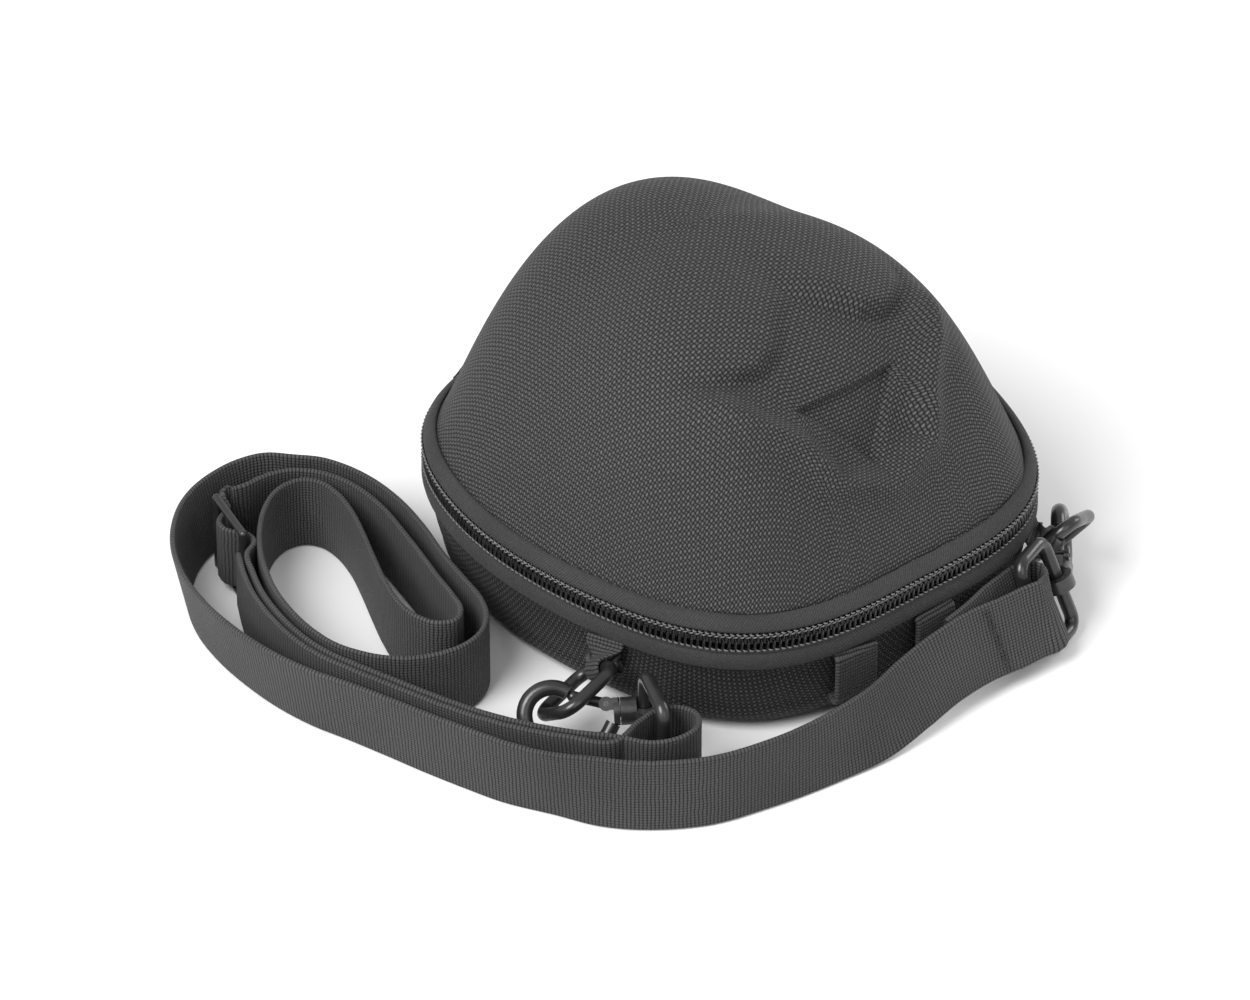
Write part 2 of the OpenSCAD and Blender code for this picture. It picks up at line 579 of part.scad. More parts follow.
module gate_pin_right() { place(hook_r_at, hook_r_dir, hook_r_up) gate_pin(); }
module swivel_eye_right() { swivel_eye(hook_r_at, hook_r_dir, link_r_up); }
module strap_link_right() { strap_link(hook_r_at, hook_r_dir, link_r_dir, link_r_up, link_r_len, link_r_h); }

// ---- strap ------------------------------------------------------------------
// The webbing lies on its edge. A station is [x, y, lean x, lean y, width, middle height]:
// the lean is how far the top edge stands from the bottom edge.
function std(p, l = [0, 0]) = [p[0], p[1], l[0], l[1], strap_w, 0.3 + sqrt(strap_w * strap_w - l * l) / 2];
function lean_out(p) = 4 * unit(p - [-92, 40]);
// middle of each link's far side, which the strap is folded round
bar_l = eye_at(hook_l_at, hook_l_dir) + link_len * unit(link_l_dir);
bar_r = eye_at(hook_r_at, hook_r_dir) + link_r_len * unit(link_r_dir);
glide_half = 8;                               // half length of the slide, middle of bar to middle of bar
glide_c = [-99.6, 68.9, 11.6];
glide_dir = [-0.251, -0.968];
glide_n = [0.968, -0.251];
// right end, sewn back on itself round the right link, then along the front
end_w = strap_w - 0.8;                        // the webbing is drawn in a little inside the right link
end_lean = end_w * unit(link_r_up);
right_end = [for (d = [[-26.3, -1.2], [-16.3, 0.8], [-9.7, 2.7], [-3.7, 3.7], [0.8, 4.3], [4.3, 2.3], [4.7, -1.3],
    [1.7, -3.9], [-3.2, -3.5]])
    [bar_r[0] + d[0], bar_r[1] + d[1], end_lean[0], end_lean[1], end_w, bar_r[2]]];
front = [for (q = [[20, -78.4, 9.5], [12, -77.6, 10.5], [0, -78.2, 9.5], [-12, -79.4, 7.5], [-23, -80.8, 5],
    [-35, -80.8, 2.5], [-56, -78.7, 0], [-71.5, -74.3, 0], [-79.5, -69.5, 0], [-86.5, -63.5, 0], [-91, -58, 0]])
    std([q[0], q[1]], [0, q[2]])];
outer_loop = [for (p = [[-96.5, -49.5], [-102.5, -38.5], [-106, -29], [-109.5, -18.5], [-112.5, -8.5], [-116, 2.5],
    [-119.5, 12.5], [-121.7, 23], [-122.5, 35], [-121.7, 48], [-119, 59.5], [-114.5, 69], [-108.5, 76.5],
    [-102.5, 81.3], [-97, 84], [-90.5, 85.6], [-83, 85.8], [-77, 84]]) std(p, lean_out(p))];
right_run = [for (p = [[-71.5, 80], [-67.2, 75], [-64.6, 69], [-63, 61], [-63, 50.5], [-65.2, 38], [-68.6, 26],
    [-70.9, 15], [-72.8, 6.5], [-76, 0.5], [-80.5, -3.2], [-86, -4.8], [-93, -4], [-99.5, -1], [-104.5, 3.5], [-108, 9],
    [-110.3, 15], [-111, 22], [-110.3, 31], [-108.2, 40], [-105, 48], [-100.5, 56], [-95, 63], [-90, 67.8],
    [-84.5, 71.2], [-79.5, 72.2], [-75.6, 71], [-73.2, 67.5], [-72.8, 62], [-74.5, 54], [-78, 45], [-82, 36],
    [-86, 26.5], [-88.6, 18], [-88.8, 11], [-86.5, 5.8], [-82.5, 4], [-79.2, 6.2], [-77, 12], [-75.4, 19],
    [-73, 28], [-70.4, 38.5], [-68, 50], [-67.6, 60], [-69.2, 67.5], [-72.3, 73], [-76.5, 76.6], [-82, 78.2],
    [-88, 78.3], [-93.5, 79.2]]) std(p)];
function glide_pt(u, o) = let (p = [glide_c[0], glide_c[1]] + u * glide_dir + o * glide_n)
    [p[0], p[1], 0, 0, strap_narrow, glide_c[2]];
glide_run = [for (q = [[-9.2, 2.4], [-7, 2.4], [-1.1, -2.4], [1.1, -2.4], [7, 2.4], [9.2, 2.4]]) glide_pt(q[0], q[1])];
// the doubled part between the slide and the left link: outer layer out, inner layer back
pair = [[-104.6, 57.5], [-108.4, 50.5], [-111.9, 42], [-114.3, 32], [-115.2, 23], [-114.6, 14], [-112.4, 5.5],
    [-109, -5.5], [-105.5, -16.5], [-101.6, -27.5], [-97, -38], [-90.8, -48.5], [-84.5, -56.5]];
function pair_n(i) = let (a = pair[max(0, i - 1)], b = pair[min(len(pair) - 1, i + 1)], t = unit(b - a)) [t[1], -t[0]];
function pair_layer(i, o) = let (p = pair[i] + o * pair_n(i), k = smooth(i < 3 ? 1 - i / 3 : (i - 8) / 4))
    [p[0], p[1], 0, 0, strap_w + (strap_narrow - strap_w) * k,
     (0.3 + strap_w / 2) * (1 - k) + (i < 6 ? glide_c[2] : bar_l[2]) * k];
left_end = [for (d = [[-7, -4.6], [-1, -7.2], [4.7, -6.6], [7.6, -3], [6.5, 1.2], [2.5, 4], [-4, 3.6]])
    [bar_l[0] + d[0], bar_l[1] + d[1], 0, 0, strap_narrow, bar_l[2]]];
strap_route = concat(right_end, front, outer_loop, right_run, glide_run,
    [for (i = [0:len(pair) - 1]) pair_layer(i, -1.1)], left_end,
    [for (i = [len(pair) - 1:-1:0]) pair_layer(i, 1.1)]);
function strap_corners(i) =
    let (s = strap_route[i], a = strap_route[max(0, i - 1)], b = strap_route[min(len(strap_route) - 1, i + 1)],
         t = unit([b[0] - a[0], b[1] - a[1], 0]),
         w = [s[2], s[3], sqrt(s[4] * s[4] - s[2] * s[2] - s[3] * s[3])] / 2,
         n = unit(cross(t, w)) * strap_t / 2, c = [s[0], s[1], s[5]])
    [c - w - n, c - w + n, c + w + n, c + w - n];
module strap() {
    n = len(strap_route);
    points = flat([for (i = [0:n - 1]) strap_corners(i)]);
    faces = concat([[0, 1, 2], [0, 2, 3]],
        [for (i = [0:n - 2], j = [0:3]) let (a = 4 * i + j, b = 4 * i + (j + 1) % 4)
            each [[a, a + 4, b], [b, a + 4, b + 4]]],
        [[4 * n - 4, 4 * n - 2, 4 * n - 3], [4 * n - 4, 4 * n - 1, 4 * n - 2]]);
    color([0.05, 0.05, 0.055]) polyhedron(points, faces, 4);
}
module tri_glide() {
    color([0.08, 0.08, 0.085]) place(glide_c, [glide_dir[0], glide_dir[1], 0], [0, 0, 1]) {
        for (x = [-glide_half, 0, glide_half]) translate([x, 0, -(link_h + glide_t) / 2])
            cylinder(d = glide_t + 0.2, h = link_h + glide_t);
        for (z = [-1, 1]) translate([-glide_half, 0, z * (link_h + glide_t) / 2]) rotate([0, 90, 0])
            cylinder(d = glide_t, h = 2 * glide_half);
        for (x = [-1, 1], z = [-1, 1]) translate([x * glide_half, 0, z * (link_h + glide_t) / 2])
            sphere(d = glide_t + 0.2);
    }
}

base_shell();
base_lining();
base_binding();
zip_tape_lower();
zip_coil_lower();
zip_end_stops();
hinge_web_lower();
belt_loop_left();
belt_loop_right();
ring_tab_left();
ring_tab_right();
ring_left();
ring_right();
lid_shell();
lid_lining();
lid_binding();
zip_tape_upper();
zip_coil_upper();
hinge_web_upper();
zip_slider();
zip_pull();
strap_link_left();
swivel_eye_left();
hook_left();
gate_left();
gate_pin_left();
strap_link_right();
swivel_eye_right();
hook_right();
gate_right();
gate_pin_right();
tri_glide();
strap();
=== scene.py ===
"""Compact moulded carry case with a zip, belt loops and a webbing shoulder strap, dressed in cloth.

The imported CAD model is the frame. Mesh code here works in millimetres, and MM turns points into metres.
"""

import math

import bmesh
import bpy
import numpy as np
from mathutils import Matrix, Vector


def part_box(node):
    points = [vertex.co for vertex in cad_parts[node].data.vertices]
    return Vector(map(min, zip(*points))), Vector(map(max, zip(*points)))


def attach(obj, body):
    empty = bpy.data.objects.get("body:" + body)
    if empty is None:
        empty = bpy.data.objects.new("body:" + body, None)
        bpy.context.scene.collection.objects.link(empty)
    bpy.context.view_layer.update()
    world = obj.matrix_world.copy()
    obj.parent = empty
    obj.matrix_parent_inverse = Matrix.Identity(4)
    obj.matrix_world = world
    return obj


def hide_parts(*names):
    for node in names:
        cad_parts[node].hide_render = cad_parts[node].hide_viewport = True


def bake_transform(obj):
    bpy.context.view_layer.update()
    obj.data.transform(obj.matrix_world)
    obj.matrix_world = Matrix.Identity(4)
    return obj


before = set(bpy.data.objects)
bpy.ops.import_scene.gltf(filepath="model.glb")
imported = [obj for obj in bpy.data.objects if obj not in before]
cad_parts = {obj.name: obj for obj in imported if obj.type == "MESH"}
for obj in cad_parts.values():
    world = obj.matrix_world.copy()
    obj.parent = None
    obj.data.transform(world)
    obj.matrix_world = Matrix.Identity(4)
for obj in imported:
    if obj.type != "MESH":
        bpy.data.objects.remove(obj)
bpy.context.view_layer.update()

MM = 0.001


# ---- sizes from the frame, in millimetres ------------------------------------------------------
def low(node):
    """The low corner of a node's box."""
    return np.array(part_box(node)[0]) / MM


def high(node):
    """The high corner of a node's box."""
    return np.array(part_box(node)[1]) / MM


tape_up_z, groove_z = low("zip_tape_upper")[2], high("zip_tape_upper")[2]
tape_low_z, tape_low_top = low("zip_tape_lower")[2], high("zip_tape_lower")[2]
coil_up_z, coil_up_top = low("zip_coil_upper")[2], high("zip_coil_upper")[2]
coil_low_z, coil_low_top = low("zip_coil_lower")[2], high("zip_coil_lower")[2]
zip_z = (coil_up_z + coil_low_top) / 2
lid_foot_z = low("lid_shell")[2]
base_top_z = high("base_shell")[2]

# the plan and the walls, as the CAD's own named values
HALF_X, HALF_Y = 66.2, 67.2
PLAN_POWER, PLAN_TRI, PLAN_HEX = 2.83, 1.3, 0.8
DOME_H, DOME_BACK, DOME_TOP_R = 55.7, 13.1, 80.0
GROOVE_IN, FOOT_IN = 3.4, 1.65
WALL = 2.6
LINING_T = 0.7


# ---- plan and dome -----------------------------------------------------------------------------
def unit(v):
    """Vectors of length 1 along the last axis."""
    v = np.asarray(v, float)
    return v / np.linalg.norm(v, axis=-1, keepdims=True)


def smooth(t):
    """Eases from 0 at t = 0 to 1 at t = 1, and stays there outside."""
    c = np.clip(t, 0, 1)
    return c * c * (3 - 2 * c)


def plan_r(a, inset=0.0):
    """Radius of the case's plan at azimuth a: a soft square with a little three- and six-fold swell."""
    c, s = np.abs(np.cos(a)), np.abs(np.sin(a))
    power = (c / (HALF_X - inset)) ** PLAN_POWER + (s / (HALF_Y - inset)) ** PLAN_POWER
    return power ** (-1 / PLAN_POWER) + PLAN_HEX * np.cos(6 * a) + PLAN_TRI * np.sin(3 * a)


def plan_point(a, inset, z):
    """A point at azimuth a, that far inside the zip line, at height z; arrays are welcome."""
    a, inset, z = np.broadcast_arrays(a, inset, z)
    r = plan_r(a, inset)
    return np.stack([r * np.cos(a), r * np.sin(a), z], -1)


def dome_point(a, h, inset=0.0):
    """A point of the plain dome at azimuth a, from h = 0 at its rim to h = 1 at its top."""
    a, h = np.broadcast_arrays(a, h)
    # how full the side is: 4.1 at the front, 2.5 behind, 1.9 left and right
    q = 2.58 - 0.81 * np.sin(a) - 0.68 * np.cos(2 * a)
    w = h**1.5
    r = (plan_r(a, GROOVE_IN + inset) * (1 - w) + (DOME_TOP_R - inset) * w) * (1 - h) ** (1 / q)
    z = groove_z + (DOME_H - inset) * h
    return np.stack([r * np.cos(a), r * np.sin(a) + DOME_BACK * h**1.13, z], -1)


DOME_CORE = np.array([0.0, 8.0, 24.0])
UP_SLOPE, OFF_SLOPE = np.array([0, 0.8, 0.6]), np.array([0, -0.6, 0.8])
HOLLOW_DEPTH, PANEL_DEPTH = 4.9, 2.3
RIM_HEIGHT, RIM_SPREAD = 3.0, 4.2
CORNER_HEIGHT, CORNER_SPREAD = 2.2, 8
# outlines of the moulded relief, right half: distance from the middle plane, height up the front slope
HOLLOW = np.array([(0, 40), (3.5, 36), (5, 28), (5, 18), (11, 10.7), (14, 6.7), (20, 4), (24, 5.3), (29, 9),
                   (33.5, 14), (36, 9), (31, 1.2), (26, -6.4), (18, -16.4), (13, -27.4), (0, -32.4)], float)
PANEL = np.array([(0, -9.5), (16.5, -9), (1.2, -28.6), (0, -29)], float)
RIDGE = np.array([(44, 15), (36, 9), (31, 1.2), (26, -6.4), (18, -16.4), (13, -27.4), (0, -32.4)], float)
CORNER = np.array([(31, -1), (34, -19), (39, -42.6)], float)


def line_distance(line, x, y):
    """Distance to an open line, and the share of the way along it of the nearest point."""
    nearest, share = np.full(x.shape, 1e9), np.zeros(x.shape)
    for k, ((ax, ay), (bx, by)) in enumerate(zip(line, line[1:])):
        t = np.clip(((x - ax) * (bx - ax) + (y - ay) * (by - ay)) / ((bx - ax) ** 2 + (by - ay) ** 2), 0, 1)
        d = np.hypot(x - ax - t * (bx - ax), y - ay - t * (by - ay))
        share = np.where(d < nearest, (k + t) / (len(line) - 1), share)
        nearest = np.minimum(nearest, d)
    return nearest, share


def inside_distance(outline, x, y):
    """Distance to an outline that starts and ends on the middle plane, positive inside it."""
    nearest, _ = line_distance(outline, x, y)
    inside = np.zeros(x.shape, bool)
    for (ax, ay), (bx, by) in zip(outline, np.roll(outline, -1, axis=0)):
        if ay != by:
            inside ^= ((ay > y) != (by > y)) & (x < ax + (y - ay) * (bx - ax) / (by - ay))
    return np.where(inside, nearest, -nearest)


def relief(p):
    """How far the moulded skin stands out at p: the hollow between the lobes, its rim and its panel."""
    x = np.abs(p[..., 0])
    up = (p - DOME_CORE) @ UP_SLOPE
    facing = smooth(((p - DOME_CORE) @ OFF_SLOPE - 4) / 20)
    hollow = inside_distance(HOLLOW, x, up)
    # higher up, the hollow is shallower and its edge softer
    soft = smooth((up - 2) / 22)
    depth = (HOLLOW_DEPTH - 1.6 * soft) * smooth((hollow + 1.8 + 2.2 * soft) / (4.8 + 6.5 * soft))
    depth = depth * smooth((38 - up) / 26) * (1 - 0.75 * smooth((x - 22) / 14))
    rim, way = line_distance(RIDGE, x, up)
    corner, share = line_distance(CORNER, x, up)
    panel = inside_distance(PANEL, x, up)
    raised = RIM_HEIGHT * np.exp(-((rim / RIM_SPREAD) ** 2)) * smooth((way - 0.14) / 0.42)
    raised = raised + CORNER_HEIGHT * np.exp(-((corner / CORNER_SPREAD) ** 2)) * (1 - 0.5 * share)
    return facing * (raised - depth) - PANEL_DEPTH * smooth((panel + 0.3) / 1.5)


def dome_skin(a, h):
    """A point of the dome's outer side, with its moulded relief."""
    p = dome_point(a, h)
    return p + relief(p)[..., None] * unit(p - DOME_CORE)


def dome_inside(a, h, inset):
    """The inner side of the moulding, which gives way behind its hollows."""
    p = dome_point(a, h, inset)
    return p + np.minimum(relief(dome_point(a, h)), 0)[..., None] * unit(p - DOME_CORE)


def along(points):
    """Distance along a line of points."""
    steps = np.linalg.norm(np.diff(points, axis=0), axis=1)
    return np.concatenate([[0], np.cumsum(steps)])


# arc length round the zip line, for whatever repeats along it
RIM_ANGLE = np.linspace(0, 2 * np.pi, 1441)
RIM_LENGTH = along(plan_point(RIM_ANGLE, 0, 0))
ROUND = RIM_LENGTH[-1]


def length_at(a):
    """Arc length at an azimuth in degrees, which may pass 360."""
    turns, rest = divmod(np.radians(a), 2 * np.pi)
    return turns * ROUND + np.interp(rest, RIM_ANGLE, RIM_LENGTH)


def azimuth_at(length):
    """Azimuth in radians at an arc length."""
    length = np.asarray(length, float)
    return np.interp(length % ROUND, RIM_LENGTH, RIM_ANGLE)


# ---- mesh helpers ------------------------------------------------------------------------------
class Skin:
    """Collects points, faces and cloth coordinates, all in millimetres."""

    def __init__(self):
        self.points, self.faces, self.uvs, self.count = [], [], [], 0

    def grid(self, points, uv, round_cols=False, round_rows=False):
        """Quads over (rows, cols, 3) points; uv has one more row or column where the grid closes."""
        k, n = points.shape[:2]
        first = self.count
        self.points.append(points.reshape(-1, 3))
        self.count += k * n
        for j in range(k if round_rows else k - 1):
            for i in range(n if round_cols else n - 1):
                corners = ((j, i), (j, i + 1), (j + 1, i + 1), (j + 1, i))
                self.faces.append([first + (r % k) * n + c % n for r, c in corners])
                self.uvs.extend(uv[r, c] for r, c in corners)
        return first

    def face(self, indices, uv):
        self.faces.append(list(indices))
        self.uvs.extend(uv)

    def fan(self, first, n, tip, uv_ring, uv_tip):
        """Closes the ring of n points from first with triangles to a tip."""
        self.points.append(np.array([tip]))
        self.count += 1
        for i in range(n):
            ring = (first + i, first + (i + 1) % n)
            self.face([*ring, self.count - 1], [uv_ring[i], uv_ring[i + 1], uv_tip])

    def add(self, points, faces):
        """A small shape that repeats, without cloth coordinates of its own."""
        first = self.count
        self.points.append(points)
        self.count += len(points)
        for f in faces:
            self.faces.append([first + i for i in f])
            self.uvs.extend([(points[i][0], points[i][1]) for i in f])

    def build(self, name, material, slot, body=None, replaces=()):
        """Makes the piece, in metres, hangs it on the body it rides on and hides the CAD nodes it stands
        for.
        """
        mesh = bpy.data.meshes.new(name)
        mesh.from_pydata((np.concatenate(self.points) * MM).tolist(), [], self.faces)
        layer = mesh.uv_layers.new(name="cloth")
        layer.uv.foreach_set("vector", np.asarray(self.uvs, np.float32).ravel())
        bm = bmesh.new()
        bm.from_mesh(mesh)
        bmesh.ops.recalc_face_normals(bm, faces=bm.faces)
        bm.to_mesh(mesh)
        bm.free()
        mesh.polygons.foreach_set("use_smooth", [True] * len(mesh.polygons))
        mesh.materials.append(material)
        piece = bpy.data.objects.new(name, mesh)
        bpy.context.scene.collection.objects.link(piece)
        if body:
            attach(piece, body)
        if replaces:
            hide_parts(*replaces)
        return piece


def resample(rows, step):
    """A smooth line through the rows (position first, then whatever goes with it), a step apart."""
    rows = np.asarray(rows, float)
    t = along(rows[:, :3])
    slope = np.gradient(rows, t, axis=0)
    at = np.linspace(0, t[-1], max(2, int(round(t[-1] / step)) + 1))
    k = np.clip(np.searchsorted(t, at, side="right") - 1, 0, len(t) - 2)
    gap = (t[k + 1] - t[k])[:, None]
    x = (at - t[k])[:, None] / gap
    a, b = rows[k], rows[k + 1]
    ma, mb = slope[k] * gap, slope[k + 1] * gap
    x2, x3 = x * x, x * x * x
    return (2 * x3 - 3 * x2 + 1) * a + (x3 - 2 * x2 + x) * ma + (3 * x2 - 2 * x3) * b + (x3 - x2) * mb


HOOP_STEPS = 360


def hoop(name, section, material, slot, body, replaces=()):
    """A closed hoop round the case from an [inset, z] section; cloth runs along it."""
    section = np.asarray(section, float)
    a = np.linspace(0, 2 * np.pi, HOOP_STEPS, endpoint=False)
    points = plan_point(a[None, :], section[:, 0][:, None], section[:, 1][:, None])
    across = along(np.vstack([section, section[:1]]))
    lengths = np.interp(np.linspace(0, 2 * np.pi, HOOP_STEPS + 1), RIM_ANGLE, RIM_LENGTH)
    uv = np.stack(np.meshgrid(lengths, across), -1)
    skin = Skin()
    skin.grid(points, uv, round_cols=True, round_rows=True)
    skin.build(name, material, slot, body, replaces)


def ribbon(skin, centre, across, widths, thickness, columns=9):
    """Adds a flat strip of webbing with rounded selvages along centre, wide in the direction across."""
    way = unit(np.gradient(centre, axis=0))
    across = unit(across - (across * way).sum(-1, keepdims=True) * way)
    up = np.cross(way, across)
    h = thickness / 2
    flat = np.linspace(-1, 1, columns)
    k = len(centre)
    points, v = [], []
    for side in (1, -1):
        for f in flat * side:
            x = f * (widths / 2 - h)
            points.append(centre + across * x[:, None] + up * (side * h))
            v.append(f)
        for push, lift in ((0.7, 0.7), (1, 0), (0.7, -0.7)):
            x = side * (widths / 2 - h + push * h)
            points.append(centre + across * x[:, None] + up * (side * lift * h))
            v.append(side * (1 + 0.05 * push))
    points = np.stack(points, 1)
    v = np.array(v + [v[0]]) * np.mean(widths) / 2
    uv = np.stack(np.broadcast_arrays(along(centre)[:, None], v[None, :]), -1)
    first = skin.grid(points, uv, round_cols=True)
    n = points.shape[1]
    for row in (0, k - 1):
        ring = [first + row * n + i for i in range(n)]
        skin.face(ring, [uv[row, i] for i in range(n)])


def tube(skin, path, radii, sides=6):
    """Adds a round bar along path, closed at both ends."""
    path = np.asarray(path, float)
    way = unit(np.gradient(path, axis=0))
    side = unit(np.cross(way, np.where(np.abs(way[:, 2:3]) < 0.9, [[0, 0, 1.0]], [[1.0, 0, 0]])))
    up = np.cross(way, side)
    turn = np.linspace(0, 2 * np.pi, sides, endpoint=False)
    radii = np.broadcast_to(radii, len(path))[:, None, None]
    ring = side[:, None] * np.cos(turn)[None, :, None] + up[:, None] * np.sin(turn)[None, :, None]
    points = path[:, None] + ring * radii
    n, k = sides, len(path)
    faces = []
    for j in range(k - 1):
        for i in range(n):
            a, b = j * n + i, j * n + (i + 1) % n
            faces.append([a, b, b + n, a + n])
    faces.append(list(range(n - 1, -1, -1)))
    faces.append(list(range((k - 1) * n, k * n)))
    skin.add(points.reshape(-1, 3), faces)


# ---- materials ---------------------------------------------------------------------------------
class Paint:
    """A material under construction: small helpers over its node tree."""

    def __init__(self, name, colour, roughness, **sockets):
        self.material = bpy.data.materials.new(name)
        self.material.use_nodes = True
        self.tree = self.material.node_tree
        self.shader = self.tree.nodes["Principled BSDF"]
        self.shader.inputs["Base Color"].default_value = (*colour, 1)
        self.shader.inputs["Roughness"].default_value = roughness
        for key, value in sockets.items():
            self.shader.inputs[key.replace("_", " ")].default_value = value
        self.bumped = None

    def node(self, kind, **settings):
        made = self.tree.nodes.new(kind)
        for key, value in settings.items():
            setattr(made, key, value)
        return made

    def link(self, value, socket):
        """Joins another node's output to a socket, or sets a constant on it."""
        if isinstance(value, bpy.types.NodeSocket):
            self.tree.links.new(value, socket)
        else:
            socket.default_value = value

    def math(self, operation, *values):
        made = self.node("ShaderNodeMath", operation=operation)
        for value, socket in zip(values, made.inputs):
            self.link(value, socket)
        return made.outputs[0]

    def cloth_axes(self, pitch_u, pitch_v, turn=0.0):
        """Thread numbers along and across the cloth, from the mesh's cloth coordinates."""
        uv = self.node("ShaderNodeUVMap", uv_map="cloth")
        mapping = self.node("ShaderNodeMapping")
        mapping.inputs["Rotation"].default_value[2] = turn
        self.link(uv.outputs[0], mapping.inputs["Vector"])
        split = self.node("ShaderNodeSeparateXYZ")
        self.link(mapping.outputs[0], split.inputs[0])
        return self.math("DIVIDE", split.outputs[0], pitch_u), self.math("DIVIDE", split.outputs[1], pitch_v)

    def hump(self, x):
        """0 at the edges of each unit cell, 1 in its middle, round as a thread is."""
        off = self.math("SUBTRACT", self.math("MULTIPLY", self.math("FRACT", x), 2), 1)
        return self.math("SQRT", self.math("SUBTRACT", 1.02, self.math("MULTIPLY", off, off)))

    def noise(self, scale, detail, low=0.0, high=1.0):
        """Noise in object space, scale per metre, mapped to a range."""
        made = self.node("ShaderNodeTexNoise")
        made.inputs["Scale"].default_value = scale
        made.inputs["Detail"].default_value = detail
        self.link(self.node("ShaderNodeTexCoord").outputs["Object"], made.inputs["Vector"])
        return self.spread(made.outputs[0], 0.3, 0.7, low, high)

    def spread(self, value, from_low, from_high, low, high):
        """A value mapped from one range to another, kept inside it."""
        made = self.node("ShaderNodeMapRange")
        for v, key in zip((value, from_low, from_high, low, high), range(5)):
            self.link(v, made.inputs[key])
        return made.outputs[0]

    def blend(self, share, first, second):
        """Mixes two colours, each a socket or three numbers."""
        made = self.node("ShaderNodeMix", data_type="RGBA")
        self.link(share, made.inputs[0])
        for colour, key in ((first, 6), (second, 7)):
            value = colour if isinstance(colour, bpy.types.NodeSocket) else (*colour, 1)
            self.link(value, made.inputs[key])
        return made.outputs[2]

    def colour(self, socket):
        self.link(socket, self.shader.inputs["Base Color"])

    def rough(self, socket):
        self.link(socket, self.shader.inputs["Roughness"])

    def bump(self, height, depth_mm):
        """Adds relief to what is there already, depth_mm deep where height is 1."""
        made = self.node("ShaderNodeBump")
        made.inputs["Strength"].default_value = 1.0
        made.inputs["Distance"].default_value = depth_mm * MM
        self.link(height, made.inputs["Height"])
        if self.bumped is not None:
            self.link(self.bumped, made.inputs["Normal"])
        self.bumped = made.outputs[0]
        self.link(self.bumped, self.shader.inputs["Normal"])


WARP_SHARE = 0.6


def plain_weave(paint, u, v):
    """Height of a plain weave, 0 to 1: thick threads along u and thinner ones along v take turns on top."""
    turn = paint.math("FLOORED_MODULO", paint.math("ADD", paint.math("FLOOR", u), paint.math("FLOOR", v)), 2)
    hump_u, hump_v = paint.hump(u), paint.hump(v)
    both = paint.math("MULTIPLY", hump_u, hump_v)
    weft = paint.math("MULTIPLY", turn, paint.math("MULTIPLY", both, hump_v))
    warp = paint.math("MULTIPLY", paint.math("SUBTRACT", 1, turn), paint.math("MULTIPLY", both, hump_u))
    return paint.math("ADD", weft, paint.math("MULTIPLY", warp, WARP_SHARE))


def moulded_cloth(name, shade_factor, gap_shade_level):
    """Heavy woven polyester pressed over foam: thick threads, painted shade in the gaps between them, a
    little sheen on the crowns.

    Its shade factor scales the greys, below 1 to paint shade over a whole piece, and below its gap shade
    level the weave's height counts as gap and gets the painted gap shade.
    """
    p = Paint(name, (0.03, 0.03, 0.031), 0.6, Specular_IOR_Level=0.2, Sheen_Weight=0.05, Sheen_Roughness=0.4)
    u, v = p.cloth_axes(1.02, 0.94)
    wander = p.noise(240, 2, low=-0.14, high=0.14)
    height = plain_weave(p, p.math("ADD", u, wander), p.math("ADD", v, wander))
    # painted shade: where the weave is low, in the gaps between threads and on the lower warp crowns, the
    # colour runs down to the near-black gap grey
    shade = p.spread(height, gap_shade_level, 0.9, 0, 1)
    dull, bright, dust, gap = [tuple(shade_factor * c for c in colour) for colour in (
        (0.068, 0.068, 0.0695), (0.108, 0.108, 0.11), (0.12, 0.12, 0.122), (0.0075, 0.0075, 0.0079))]
    yarn = p.blend(p.noise(1100, 3), dull, bright)
    dusty = p.blend(p.noise(18, 3, low=0.0, high=0.3), yarn, dust)
    p.colour(p.blend(shade, gap, dusty))
    p.rough(p.spread(height, 0.2, 1, 0.8, p.noise(30, 2, low=0.46, high=0.56)))
    p.bump(height, 0.27)
    p.bump(p.noise(2600, 3), 0.04)
    return p.material


def lining_cloth():
    """Brushed knit lining: fine ribs under a soft nap."""
    p = Paint("lining_cloth", (0.06, 0.06, 0.063), 0.85, Specular_IOR_Level=0.15,
              Sheen_Weight=0.25, Sheen_Roughness=0.6)
    u, v = p.cloth_axes(0.9, 0.7)
    rib = p.math("MULTIPLY", p.hump(u), p.hump(p.math("ADD", v, p.math("MULTIPLY", p.hump(u), 0.3))))
    nap = p.noise(1500, 4)
    # painted shade: the valleys between the ribs get the darker grey; the nap adds a random darker speckle
    # on top
    p.colour(p.blend(p.math("MULTIPLY", rib, nap), (0.03, 0.03, 0.032), (0.095, 0.095, 0.10)))
    p.bump(rib, 0.10)
    p.bump(nap, 0.12)
    return p.material


def tape_cloth():
    """Zip tape: a tight fine twill with a matt face and a faint nap."""
    p = Paint("tape_cloth", (0.05, 0.05, 0.052), 0.8, Specular_IOR_Level=0.15,
              Sheen_Weight=0.06, Sheen_Roughness=0.5)
    u, v = p.cloth_axes(0.62, 0.5, turn=0.62)
    twill = p.math("MULTIPLY", p.hump(u), p.spread(p.hump(v), 0, 1, 0.6, 1))
    fuzz = p.noise(1700, 4)
    face = p.blend(p.noise(45, 3, low=0.0, high=0.7), (0.050, 0.050, 0.051), (0.074, 0.074, 0.0755))
    # painted shade: the twill's valleys get a near-black grey; the fuzz darkens it in random specks, and the
    # face's own grey varies at random
    p.colour(p.blend(p.math("MULTIPLY", twill, p.spread(fuzz, 0, 1, 0.5, 1)), (0.018, 0.018, 0.0185), face))
    p.bump(twill, 0.09)
    p.bump(fuzz, 0.10)
    return p.material


